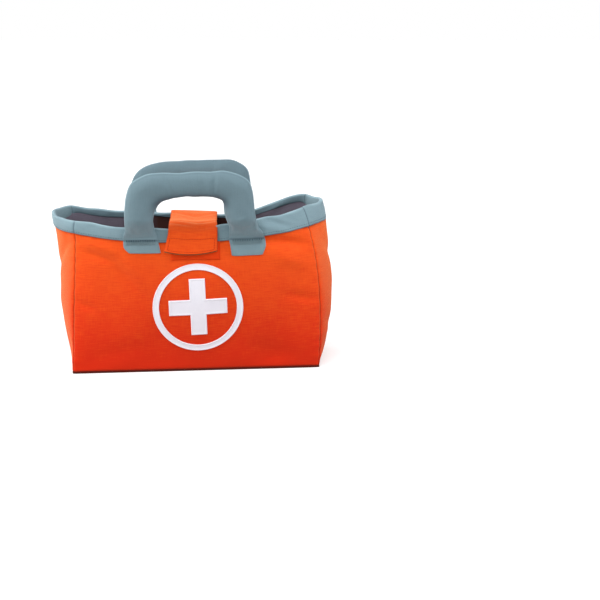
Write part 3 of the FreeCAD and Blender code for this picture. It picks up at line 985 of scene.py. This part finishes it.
JOINTS = {joint["name"]: np.array(joint["pos_m"]) for joint in frame["joints"]}
handle_depth = 10.8 * MM
fold_half = 2.0 * MM
tab_cloth = 1.6 * MM
edge_fin = 0.9 * MM
handle_lean = math.radians(9)
handle_stations = 241
handle_around = 56
# Heights about the fold: where the handle bends, comes free of the panel, is fully stuffed and is all bar,
# where the flat tab turns into the handle's own plane, and where the tab's groove lies
handle_bend = (-2 * MM, 9 * MM)
free_from, free_over = 2 * MM, 22 * MM
full_depth_height = 30 * MM
bar_from, bar_over = 30 * MM, 25 * MM
mix_from, mix_over = -2.5 * MM, 9 * MM
groove_height = -1.6 * MM
tab_gap = 0.2 * MM
band_step = 1.1 * MM
stuffing_cap = 1.6 * MM
stuffing_from = 10 * MM
stuffing_frames = 20
evening_rounds = 8
# How far each handle darkens towards its bar, as painted shade; most on the back handle, which lies in the
# front handle's shade
handle_tone = {"front": 0.34, "back": 0.55}
zigzag_count = 27
zigzag_sway = 2.4 * MM
zigzag_lift = 2.1 * MM
# Outlines of the two cloths of a handle, from the foot of one tab over the bar to the foot of the other,
# as pairs of an outer and an inner place (across, up) about the handle's fold, in millimetres
HANDLE_CUT = {
    "front": (
        (-77.5, -16.8, -40.8, -16.6), (-83.6, -10.5, -42.3, -9.0), (-84.3, -2.0, -44.0, -1.0),
        (-83.4, 6.0, -45.6, 7.0), (-82.0, 14.0, -47.6, 15.0), (-80.6, 26.0, -49.3, 25.0),
        (-79.6, 40.0, -48.5, 34.0), (-77.6, 56.0, -45.8, 40.5), (-71.0, 70.5, -43.0, 46.5),
        (-58.0, 79.0, -36.0, 50.8), (-42.0, 81.8, -26.0, 53.3), (-20.0, 81.9, -12.0, 54.4),
        (2.0, 82.7, 3.0, 54.9), (20.0, 82.8, 16.0, 54.4), (33.0, 83.9, 26.0, 53.0),
        (50.0, 79.0, 32.0, 50.0), (61.0, 71.5, 34.5, 45.5), (65.0, 60.0, 35.0, 40.0),
        (67.0, 46.0, 35.6, 33.0), (69.5, 30.0, 38.0, 24.0), (74.5, 16.0, 40.0, 15.0),
        (79.5, 7.0, 39.8, 7.0), (82.5, -1.0, 39.7, -1.0), (83.5, -10.5, 41.4, -10.0),
        (79.5, -21.0, 43.4, -21.5),
    ),
    "back": (
        (-79.0, -17.0, -42.0, -17.0), (-84.0, -9.0, -43.0, -9.0), (-84.5, -1.0, -44.0, -1.0),
        (-83.0, 7.0, -44.6, 7.0), (-80.5, 15.0, -45.2, 15.0), (-77.5, 28.0, -45.4, 25.0),
        (-75.5, 42.0, -45.0, 34.0), (-74.0, 55.0, -44.0, 41.0), (-70.5, 65.5, -41.0, 46.0),
        (-61.0, 74.0, -34.0, 49.3), (-47.0, 77.8, -25.0, 50.6), (-21.0, 77.3, -12.0, 50.8),
        (3.0, 76.8, 0.0, 50.6), (24.0, 76.8, 14.0, 50.2), (45.0, 74.2, 27.0, 49.4),
        (59.0, 69.0, 35.0, 47.0), (68.5, 61.5, 41.0, 43.0), (74.3, 51.0, 44.5, 37.0),
        (76.5, 38.0, 45.6, 30.0), (78.0, 26.0, 45.8, 22.0), (81.0, 14.0, 45.6, 14.0),
        (84.0, 6.0, 45.0, 6.0), (85.0, -1.0, 44.0, -1.0), (84.5, -9.0, 43.0, -9.0),
        (79.0, -17.0, 42.0, -17.0),
    ),
}
# Folds across the stuffed bar: place, depth, width and lean
HANDLE_FOLDS = {
    "front": ((21.5, 1.2, 2.4, 0.05), (-30, 0.6, 3.0, -0.5), (8, 0.4, 3.5, 0.1)),
    "back": ((18, 0.8, 3.0, 0.3), (-26, 0.7, 3.0, -0.4)),
}
# Zigzag rows on the tabs: side, middle across, half length and height about the fold
ZIGZAGS = {
    "front": (("left", -64.0, 17.5, -5.0), ("right", 61.5, 18.5, -6.5)),
    "back": (("left", -64.0, 18.0, -5.5), ("right", 64.0, 18.0, -5.5)),
}


def through(points, stations):
    """A smooth line through points: every stretch is a cubic that leaves along the line of its neighbours."""
    points = np.asarray(points, float)
    points = np.concatenate([2 * points[:1] - points[1:2], points, 2 * points[-1:] - points[-2:-1]])
    where = np.linspace(0, len(points) - 3, stations)
    index = np.minimum(where.astype(int), len(points) - 4)
    s = (where - index)[:, None]
    a, b, c, d = (points[index + step] for step in range(4))
    return (2 * b + (c - a) * s + (2 * a - 5 * b + 4 * c - d) * s**2 + (3 * b - a - 3 * c + d) * s**3) / 2


def handle_rings(name, seed):
    """Rings of the stuffed handle: two cloths sewn edge to edge, with a thin fin of seam at both edges.

    A ring spans from the inner to the outer outline, and is as deep as the stuffing there. Above the fold
    the rings stand in the handle's own plane; below it they lie flat on the panel as tabs, and between
    the two the places are mixed. Gives the rings on the bag and in the plane.
    """
    outline = through(HANDLE_CUT[name], handle_stations) * MM
    middle, half = (outline[:, :2] + outline[:, 2:]) / 2, (outline[:, :2] - outline[:, 2:]) / 2
    x, z = middle.T
    draw = np.random.default_rng(seed)
    step = np.arange(handle_around) * 2 * np.pi / handle_around
    angle = step - 0.3 * np.sin(2 * step)
    flat = np.cos(angle)
    thick = np.sign(np.sin(angle)) * np.abs(np.sin(angle)) ** 0.95
    free = smooth((z - free_from) / free_over)
    for length in (21, 34, 55):
        wave = np.sin((x + 0.7 * z) * 2 * np.pi / (length * MM) + draw.uniform(0, 6.3))
        half = half * (1 + draw.uniform(0.008, 0.018) * wave * free)[:, None]
    fin = edge_fin * bell(np.sin(angle), 0.07) * np.sign(flat) * free[:, None]
    reach = half[:, None] * flat[:, None] + unit(half)[:, None] * fin[..., None]
    px, pz = x[:, None] + reach[..., 0], z[:, None] + reach[..., 1]
    deep = fold_half + (handle_depth - fold_half) * smooth(z / full_depth_height)
    py = (fold_half - deep)[:, None] - deep[:, None] * thick
    top_bar = smooth((z - bar_from) / bar_over)
    for place, depth, width, lean in HANDLE_FOLDS[name]:
        away = px - place * MM - lean * (pz - z.max())
        py = py + depth * MM * bell(away, width * MM) * top_bar[:, None] * thick
    plane = stack(px, py, pz)

    world_z = JOINTS[f"{name}_handle_swing"][2] + np.minimum(pz, handle_bend[1])
    station = np.arange(handle_stations)
    cloth = tab_cloth / 2 * (1 - 0.7 * bell(np.minimum(station, station[::-1]), 1.5))[:, None]
    groove = 0.6 * MM * bell(pz - groove_height, 1.2 * MM)
    lift = tab_gap + tab_cloth / 2 + over_band(pz) + cloth * thick - groove
    lay = on_skin(name, SIDE[name] * px, world_z, lift)
    mixed = smooth((pz - mix_from) / mix_over)[..., None]
    return lay + (place_handle(plane, name) - lay) * mixed, plane, angle


def over_band(up):
    """How far a tab rises over the edge of the band, by the height about its fold."""
    return band_step * smooth((up + 4.5 * MM) / (4 * MM))


def place_handle(points, name):
    """From the handle's own frame to the bag: leaned out about its fold, turned round for the back handle."""
    x, y, z = np.moveaxis(points, -1, 0)
    lean_y = y * math.cos(handle_lean) - z * math.sin(handle_lean)
    lean_z = y * math.sin(handle_lean) + z * math.cos(handle_lean)
    return stack(SIDE[name] * x, SIDE[name] * lean_y, lean_z) + JOINTS[f"{name}_handle_swing"]


def stuff(piece, pinned, cap, around, evening):
    """Swells a closed cloth piece with Blender's cloth simulation, and caps how far each point moves.

    The move of each ring's middle is taken off, so that the handle keeps the line it was cut to, and the
    moves are evened out along the handle, most of all at its two edges.
    """
    mesh = piece.data
    before = np.empty(len(mesh.vertices) * 3)
    mesh.vertices.foreach_get("co", before)
    group = piece.vertex_groups.new(name="sewn")
    group.add(np.flatnonzero(pinned).tolist(), 1.0, "REPLACE")
    cloth = piece.modifiers.new("Cloth", "CLOTH")
    cloth.settings.use_pressure = True
    cloth.settings.uniform_pressure_force = 4
    cloth.settings.vertex_group_mass = "sewn"
    cloth.settings.shrink_min = -0.04
    cloth.settings.bending_stiffness = 0.25
    cloth.settings.effector_weights.gravity = 0
    cloth.point_cache.frame_start = 1
    cloth.point_cache.frame_end = stuffing_frames
    scene = bpy.context.scene
    for step in range(1, stuffing_frames + 1):
        scene.frame_set(step)
    swollen = piece.evaluated_get(bpy.context.evaluated_depsgraph_get())
    after = np.empty_like(before)
    swollen.data.vertices.foreach_get("co", after)
    piece.modifiers.remove(cloth)
    piece.vertex_groups.remove(group)
    scene.frame_set(1)
    move = (after - before).reshape(-1, 3)
    size = np.linalg.norm(move, axis=1, keepdims=True)
    move *= np.minimum(1, cap / np.maximum(size, 1e-9))
    rings = move[:-2].reshape(-1, around, 3)
    rings -= rings.mean(1, keepdims=True)
    for _ in range(evening_rounds):
        beside = (rings[:-2] + rings[2:]) / 2
        rings[1:-1] += (beside - rings[1:-1]) * evening[:, None] / 2
    mesh.vertices.foreach_set("co", (before.reshape(-1, 3) + move).ravel())
    mesh.update()


def handle(name, seed):
    """One padded handle with its two tabs: a flat tube, stuffed by simulation, that folds on to the panel."""
    rings, plane, angle = handle_rings(name, seed)
    count, around = rings.shape[:2]
    points, plane = (np.concatenate([grid.reshape(-1, 3), grid[[0, -1]].mean(1)]) for grid in (rings, plane))
    index, after = np.arange(around), np.roll(np.arange(around), -1)
    last, end = (count - 1) * around, count * around
    tris = np.concatenate([stack(index, after, end), stack(last + after, last + index, end + 1)])

    def all_along(values):
        """A value per point of a ring, for every ring; 0 at the two end points."""
        return np.append(np.tile(values, count), (0, 0))

    up = plane[:, 2]
    from_edge = np.abs(np.sin(angle))
    # Painted shade: the handle darkens upwards, under its bar, in a groove beside each edge seam and in the
    # groove at the fold
    underside = all_along(bell(np.cos(angle) + 1, 0.3)) * smooth((up - 36 * MM) / (12 * MM))
    handle_shade = handle_tone[name] * smooth((up - 6 * MM) / (30 * MM)) + 0.7 * underside
    handle_shade = handle_shade + 0.2 * all_along(bell(from_edge - 0.27, 0.1))
    seam = np.maximum(handle_shade, 0.75 * bell(up - groove_height, 1.1 * MM))
    # Painted highlight along the handle's two edges, except on the underside
    rub = 0.55 * all_along(bell(from_edge, 0.11)) * (1 - underside)
    quads = ring_quads(count, around)
    piece = add_mesh(f"{name}_handle_padded", points, quads, grey_cotton, plane[:, [2, 0]], seam, tris, rub)
    fix_outward(piece)
    stuff(piece, up < stuffing_from, stuffing_cap, around, 0.25 + 0.75 * bell(from_edge, 0.3))
    finer = piece.modifiers.new("Subdivision", "SUBSURF")
    finer.levels = finer.render_levels = 1
    tabs = [f"{name}_handle_{side}_tab" for side in ("left", "right")]
    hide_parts(f"{name}_handle_cover", f"{name}_handle_stuffing", *tabs)
    start, end = (JOINTS[f"{name}_handle_swing"] + np.array((0, 0, height)) for height in handle_bend)
    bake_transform(piece)
    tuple(start)
    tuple(end)
    for row in ZIGZAGS[name]:
        zigzag_row(name, *row)


def zigzag_row(name, side, middle, half, height):
    """A zigzag row of stitches across a tab, just under the handle's fold, with a bar at each upper end."""
    x = (middle + np.linspace(-1, 1, zigzag_count) * half) * MM
    sway = np.where(np.arange(zigzag_count) % 2, 1, -1) * zigzag_sway
    z = JOINTS[f"{name}_handle_swing"][2] + height * MM + sway
    lift = zigzag_lift + over_band(height * MM + sway)
    ends = on_skin(name, x, z, lift)
    runs = np.diff(ends, axis=0)
    outs = skin_out(name, (x[1:] + x[:-1]) / 2, (z[1:] + z[:-1]) / 2)
    length = np.linalg.norm(runs, axis=1).mean()
    label = f"{name}_handle_{side}_"
    row = ((ends[1:] + ends[:-1]) / 2, runs, outs)
    stitches(label + "zigzag", row, length, 0.7 * MM, pale_thread, "bag", "grey_cotton")
    # Bars of dark thread at the upper turns lie in the groove at the fold and also act as painted shade there
    upper = sway > 0
    places = on_skin(name, x[upper], z[upper] + 0.7 * MM, lift[upper] + 0.35 * MM)
    outs = skin_out(name, x[upper], z[upper])
    row = (places, np.tile((0.12, 0.0, 1.0), (upper.sum(), 1)), outs)
    stitches(label + "bars", row, 2.6 * MM, 1.0 * MM, grey_thread, "bag", "grey_cotton")


# Closing strap


strap_back = JOINTS["strap_lift"]
strap_front = JOINTS["flap_peel"]
strap_half = 1.2 * MM
back_width = 59 * MM
anchor_length = 30 * MM
flap_sag = 4.0 * MM
flap_tilt = math.radians(5.0)
flap_run = 23.4 * MM
fold_turn = math.pi / 2 - flap_tilt
hem_show = 1.4 * MM
back_round = 4.5 * MM
back_drop, back_slope = 3.9 * MM, 1.3 * MM
front_reach = 28.0 * MM
front_round = 14.0 * MM
front_droop = 2.2 * MM
# Middle of the front fold's round, across (y) and up (z)
front_round_middle = strap_front[1:] + np.array((26.2, -13.2)) * MM
# Middle and half width of the strap where its front fold starts and where it ends, and how much the flap
# adds towards its foot
bridge_end, bridge_end_half = -1.6 * MM, 28.2 * MM
fold_middle, fold_half_width = -3.0 * MM, 29.2 * MM
flap_shift, flap_spread = -2.8 * MM, 2.2 * MM
# Where the flap's bend starts and ends, from its fold, in millimetres
flap_bend = ((0, 8, -2), (0, -2, -14))
# The strap's two lengths lap half way: shares past the middle, and how thick each length still is there
lap_shares = np.array((0.506, 0.512, 0.520))
lap_thickness = np.array((0.96, 0.8, 0.5))
# Soft folds that hang between the strap's edges: share along the bridge, how much earlier at the edges,
# depth and width in shares
BRIDGE_FOLDS = (
    (0.20, 0.14, 1.0, 0.06), (0.36, 0.18, -1.1, 0.07), (0.54, 0.20, 1.2, 0.07), (0.74, 0.16, -0.9, 0.07),
    (0.88, 0.12, 0.7, 0.05),
)
# Wrinkles over the front fold: place along the strap, slant, depth, width, and share across
STRAP_WRINKLES = (
    (66.0, 6.0, 0.6, 2.6, -0.6), (72.0, 6.0, -0.5, 3.2, -0.3), (78.0, 7.0, 0.6, 2.8, -0.5),
    (70.0, -6.0, 0.6, 2.8, 0.6), (77.0, -7.0, -0.5, 3.4, 0.5), (84.0, -6.0, 0.5, 3.0, 0.55),
    (88.0, 7.0, 0.4, 3.2, -0.6),
)


def strap_sheet(name, u, middle, half, hem=0.0):
    """A strap of cloth as a closed sheet about a middle surface, thinner towards its edges.

    At its end the under layer may show below the upper one by the hem.
    """
    out = unit(np.cross(np.gradient(middle, axis=1), np.gradient(middle, axis=0)))
    lift = (half * pillow(u, 14, 0.02))[..., None]
    uv = stack(u * fold_half_width, run_length(middle))
    seam = 0.4 * bell(1 - np.abs(u), 0.015)
    outer, inner = middle + out * lift, middle - out * lift
    inner[-1, :, 2] -= hem
    # Painted shadow: the hemmed end darkens, under the flap's lower edge
    seam[-1] = 0.9 if hem else 0.0
    return sheet(name, outer, inner, uv, orange_canvas, seam)


def back_height(u):
    """Height of the strap on the back rim, which falls a little to the right."""
    return strap_back[2] - back_drop - back_slope * u


def front_height(u):
    """Height of the middle of the front fold's round, which droops between the strap's edges."""
    return front_round_middle[1] - front_droop * bell(u - 0.25, 0.75)


def bridge_middle(u, share):
    """The strap over the mouth: straight from the back fold to the front fold, with a sag and soft folds."""
    x = strap_back[0] + (bridge_end - strap_back[0]) * share
    half = back_width / 2 + (bridge_end_half - back_width / 2) * share
    start, end = strap_back[1] - back_round, front_round_middle[0]
    y = start + (end - start) * share
    z = back_height(u) + (front_height(u) + front_round - back_height(u)) * share
    arch = np.sin(np.pi * share)
    z = z - (3.0 + 0.8 * np.cos(u * 4)) * MM * arch
    for place, early, depth, width in BRIDGE_FOLDS:
        z = z + depth * MM * bell(share - place + early * np.abs(u - 0.1), width) * arch**0.5
    return stack(x + u * half, y, z)


def strap_over_back():
    """The sewn end behind the back rim, its fold, and the strap to the middle of the mouth."""
    u = np.linspace(-1, 1, 49)[None]
    rise = np.linspace(0, 1, 26)[:, None]
    foot = strap_back[2] - 1.5 * MM - anchor_length
    z = foot + rise * (back_height(u) - back_round - foot)
    x = strap_back[0] + u * back_width / 2 + 0 * rise
    face = skin("back", x, z)[..., 1] + 0.35 * MM + strap_half
    y = face + (strap_back[1] - face) * smooth(rise * 1.2 - 0.2)
    turn = np.radians(np.linspace(0, 90, 12))[1:, None]
    arc_y = strap_back[1] - back_round + back_round * np.cos(turn)
    arc = stack(x[:1], arc_y, back_height(u) - back_round + back_round * np.sin(turn))
    bridge = bridge_middle(u, np.append(np.linspace(0, 0.5, 40)[1:], lap_shares)[:, None])
    middle = np.concatenate([stack(x, y, z), arc, bridge])[:, ::-1]
    half = np.full((len(middle), 1), strap_half)
    half[-len(lap_shares):, 0] *= lap_thickness
    piece = strap_sheet("closing_strap_cloth", u[:, ::-1] * np.ones((len(middle), 1)), middle, half)
    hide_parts("strap_anchor", "closure_strap")
    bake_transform(piece)
    anchor_stitches(foot)


def anchor_stitches(foot):
    """A box of stitches that holds the strap's end to the back panel."""
    inset = back_width / 2 - 4 * MM
    left, right = strap_back[0] - inset, strap_back[0] + inset
    low, high = foot + 4 * MM, foot + 21 * MM
    corners = ((left, low), (right, low), (right, high), (left, high), (left, low))
    row = joined(row_on_skin("back", *ends, 3.2 * MM, 2.75 * MM) for ends in zip(corners, corners[1:]))
    stitches("anchor_stitches", row, 2.5 * MM, 0.6 * MM, orange_thread, "bag", "orange_canvas")


def flap_point(u, down):
    """The hanging flap below the front fold: tilted out, wider at its foot, its lower edge sagging.

    Its lower corners curl a little.
    """
    d = down * (flap_run - flap_sag * u**2)
    x = fold_middle + flap_shift * down + u * (fold_half_width + flap_spread * down)
    y = front_round_middle[0] - front_reach * math.sin(fold_turn) - d * math.sin(flap_tilt)
    level = front_round_middle[1] + (front_height(u) - front_round_middle[1]) * (1 - down) ** 2
    z = level + front_round * math.cos(fold_turn) - d * math.cos(flap_tilt)
    curl = 1.0 * MM * down**2 * u**4
    return stack(x, y + curl, z)


def strap_wrinkles(middle, u):
    """Slanted wrinkles where the strap bends over the rim, as heights along the strap's outside."""
    run = run_length(middle)
    height = np.zeros_like(run)
    for place, slant, half, width, shift in STRAP_WRINKLES:
        away = run - (place + slant * u) * MM
        height = height - half * MM * bell(away, width * MM) * bell(u - shift, 0.75)
    return height


def strap_over_front():
    """The strap from the middle of the mouth over the round front fold and down the flap."""
    u = np.linspace(-1, 1, 61)[None]
    bridge = bridge_middle(u, np.append(1 - lap_shares[::-1], np.linspace(0.5, 1, 44))[:, None])
    turn = np.linspace(0, fold_turn, 34)[1:-1, None]
    share = turn / fold_turn
    arc_half = bridge_end_half + (fold_half_width - bridge_end_half) * share
    arc = stack(
        bridge_end + (fold_middle - bridge_end) * share + u * arc_half,
        front_round_middle[0] - front_reach * np.sin(turn),
        front_height(u) + front_round * np.cos(turn),
    )
    flap = flap_point(u, np.linspace(0, 1, 64)[:, None])
    middle = np.concatenate([bridge, arc, flap])
    whole = u * np.ones((len(middle), 1))
    out = unit(np.cross(np.gradient(middle, axis=0), np.gradient(middle, axis=1)))
    middle = middle + out * strap_wrinkles(middle, whole)[..., None]
    half = np.full((len(middle), 1), strap_half)
    half[:len(lap_shares), 0] *= lap_thickness[::-1]
    piece = strap_sheet("closing_flap_cloth", whole[:, ::-1], middle[:, ::-1], half, hem_show)
    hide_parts("closure_flap")
    start, end = (strap_front + np.array(place) * MM for place in flap_bend)
    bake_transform(piece)
    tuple(start)
    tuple(end)
    flap_stitches()


def flap_row(u0, d0, u1, d1, pitch):
    """Places, runs and outward directions of a straight stitch row on the flap."""
    ends = flap_point(np.array([[u0, u1]]), np.array([[d0, d1]]))[0]
    count = int(np.linalg.norm(ends[1] - ends[0]) / pitch)
    share = (np.arange(count) + 0.5) / count
    u, d = u0 + (u1 - u0) * share, d0 + (d1 - d0) * share
    places = flap_point(u, d)
    runs = flap_point(u + (u1 - u0) / count / 2, d + (d1 - d0) / count / 2) - places
    out = np.tile((0, -math.cos(flap_tilt), math.sin(flap_tilt)), (count, 1))
    return places + out * (strap_half + 0.05 * MM), runs, out


def flap_stitches():
    """Stitch rows on the flap: one across it, and a box round its lower half that holds the hook tape."""
    row = joined(flap_row(*ends, 3.0 * MM) for ends in (
        (-0.97, 0.2, 0.97, 0.2), (-0.88, 0.23, -0.88, 0.9), (0.88, 0.23, 0.88, 0.9), (-0.88, 0.9, 0.88, 0.9),
    ))
    stitches("flap_stitches", row, 2.6 * MM, 0.55 * MM, orange_thread, "flap", "orange_canvas")


loop_width, loop_height, loop_foot_drop = 58 * MM, 22 * MM, 42.7 * MM
hook_width, hook_height, hook_margin = 54 * MM, 15 * MM, 5 * MM


def fastener_tapes():
    """The hook tape under the flap and the loop tape on the front panel, with soft uneven faces."""
    a, b = np.meshgrid(np.linspace(-1, 1, 61), np.linspace(0, 1, 31))
    nap = np.random.default_rng(21).uniform(0, 1, a.shape)
    soft = pillow(a, 16, 0.05) * pillow(2 * b - 1, 12, 0.05)

    x, z = a * loop_width / 2, strap_front[2] - loop_foot_drop + loop_height * b
    kept, _ = kept_columns("front")
    under_band = smooth((z - np.interp(x, ALONG[kept], BAND[kept]) + 1.6 * MM) / (1.2 * MM))
    lift = 0.3 * MM + (1.1 * MM + 0.3 * MM * nap) * soft * (1 - under_band)
    upper, under = on_skin("front", x, z, lift), on_skin("front", x, z, np.full_like(a, felt_under))
    piece = sheet("loop_tape_pile", upper, under, stack(x, z), loop_tape)
    stands_for(piece, "bag", "loop_tape", "loop_patch")

    x, height = a * hook_width / 2, b * hook_height
    down = 1 - (hook_margin + height) / flap_run
    face = flap_point(x / (fold_half_width + flap_spread * down), down)
    inward = np.array((0, math.cos(flap_tilt), -math.sin(flap_tilt)))
    near = face + inward * (strap_half * 0.8)
    far = face + inward * (strap_half + (1.0 * MM + 0.35 * MM * nap) * soft)[..., None]
    piece = sheet("hook_tape_pile", near, far, stack(x, height), hook_tape)
    fix_outward(piece)
    stands_for(piece, "flap", "hook_tape", "hook_patch")


# Stage, light and camera

lamp_aim = (0, 0, 0.1)


def seen(n):
    """1 for a ray that comes from the camera, straight or by way of a shiny face or glass."""
    path = n.add("LightPath").outputs
    either = n.math("MAXIMUM", path["Is Camera Ray"], path["Is Glossy Ray"])
    return n.math("MAXIMUM", either, path["Is Transmission Ray"])


def stage():
    """A white floor that keeps the shadow, and a white world; both are plain white to the camera."""
    n = Nodes(bpy.data.materials.new("floor_white"))
    floor_white = n.finish(
        Base_Color=(0.5, 0.5, 0.5, 1), Roughness=1.0, Specular_IOR_Level=0.0, Emission_Color=(1, 1, 1, 1),
        Emission_Strength=n.math("MULTIPLY", seen(n), 0.62),
    )
    far, low = 60.0, -0.2 * MM
    corners = ((-far, -far, low), (far, -far, low), (far, far, low), (-far, far, low))
    add_mesh("floor", corners, [(0, 1, 2, 3)], floor_white)
    n = Nodes(bpy.data.worlds.new("white_room"), "Background")
    bpy.context.scene.world = n.finish(Color=(1, 1, 1, 1), Strength=n.math("MAXIMUM", seen(n), 0.28))


def lamp(name, place, size, watts, colour):
    """A square soft lamp at a place, turned to look at the bag."""
    light = bpy.data.lights.new(name, "AREA")
    light.size = size
    light.energy = watts
    light.color = colour
    holder = linked(name, light)
    holder.location = place
    x, y, z = np.array(lamp_aim) - np.array(place)
    holder.rotation_euler = (math.atan2(math.hypot(x, y), -z), 0, math.atan2(y, x) - math.pi / 2)


def overhead(strength, angle, turn):
    """A wide soft sun from above and in front, which lights the whole floor evenly."""
    light = bpy.data.lights.new("overhead", "SUN")
    light.energy = strength
    light.angle = math.radians(angle)
    linked("overhead", light).rotation_euler = [math.radians(part) for part in turn]


def camera():
    """The photograph's view: place, turn and lens, for a square picture on a 36 mm sensor."""
    lens = bpy.data.cameras.new("camera")
    lens.sensor_width = 36
    lens.lens = 76.8
    holder = linked("camera", lens)
    holder.location = (-0.0342, -1.5704, 0.4038)
    holder.rotation_euler = (math.radians(78.14), 0, math.radians(-6.04))
    bpy.context.scene.camera = holder


canvas_walls()
lining_walls()
base_pieces()
rim_band()
emblem_ring()
emblem_cross()
handle("front", 3)
handle("back", 4)
strap_over_back()
strap_over_front()
fastener_tapes()

# Cloths: width and length of the cut, its area where it is no rectangle, how it is held, the cloth it rests
# on, and the pieces on it
CLOTHS = {
    "front_panel": (0.306, 0.178, 0.0512, "stretched", "base_panel",
                    ("emblem_ring_cloth", "emblem_cross_cloth", "loop_tape_pile")),
    "back_panel": (0.304, 0.180, 0.0518, "stretched", "base_panel", ("anchor_stitches",)),
    "left_gusset": (0.128, 0.176, 0.0219, "stretched", "base_panel", ()),
    "right_gusset": (0.130, 0.180, 0.0227, "stretched", "base_panel", ()),
    "base_panel": (0.294, 0.114, None, "stretched", "base_board", ()),
    "lining_front": (0.302, 0.180, 0.0518, "hung", "rim_band_front", ()),
    "lining_back": (0.302, 0.182, 0.0524, "hung", "rim_band_back", ()),
    "lining_left": (0.126, 0.172, 0.0207, "hung", "rim_band_left", ()),
    "lining_right": (0.126, 0.178, 0.0220, "hung", "rim_band_right", ()),
    "lining_base": (0.294, 0.114, None, "laid", "base_board", ()),
    "rim_band_front": (0.302, 0.034, 0.0086, "folded", "front_panel", ("band_stitches",)),
    "rim_band_back": (0.302, 0.034, 0.0082, "folded", "back_panel", ()),
    "rim_band_left": (0.128, 0.040, 0.0042, "folded", "left_gusset", ()),
    "rim_band_right": (0.128, 0.044, 0.0048, "folded", "right_gusset", ()),
    "closing_strap": (0.059, 0.093, None, "folded", "rim_band_back", ()),
    "closing_flap": (0.063, 0.107, None, "folded", "rim_band_front", ("hook_tape_pile", "flap_stitches")),
}
for name, (width, length, area, handle_shade, under, with_it) in CLOTHS.items():
    pieces = [bpy.data.objects[other] for other in with_it]

stage()
overhead(1.9, 40, (22, -10, 0))
for name, place, size, watts, colour in (
    ("left", (-2.5, -0.6, 1.0), 1.5, 38, (1.0, 0.98, 0.96)),
    ("right", (2.4, -0.6, 1.0), 1.5, 30, (0.98, 0.98, 1.0)),
    ("front", (-0.5, -2.4, 1.3), 1.5, 16, (1.0, 1.0, 1.0)),
    ("back", (-2.0, 1.7, 1.0), 1.2, 28, (1.0, 1.0, 1.0)),
):
    lamp(name, place, size, watts, colour)
camera()
bpy.context.scene.view_settings.view_transform = "Standard"
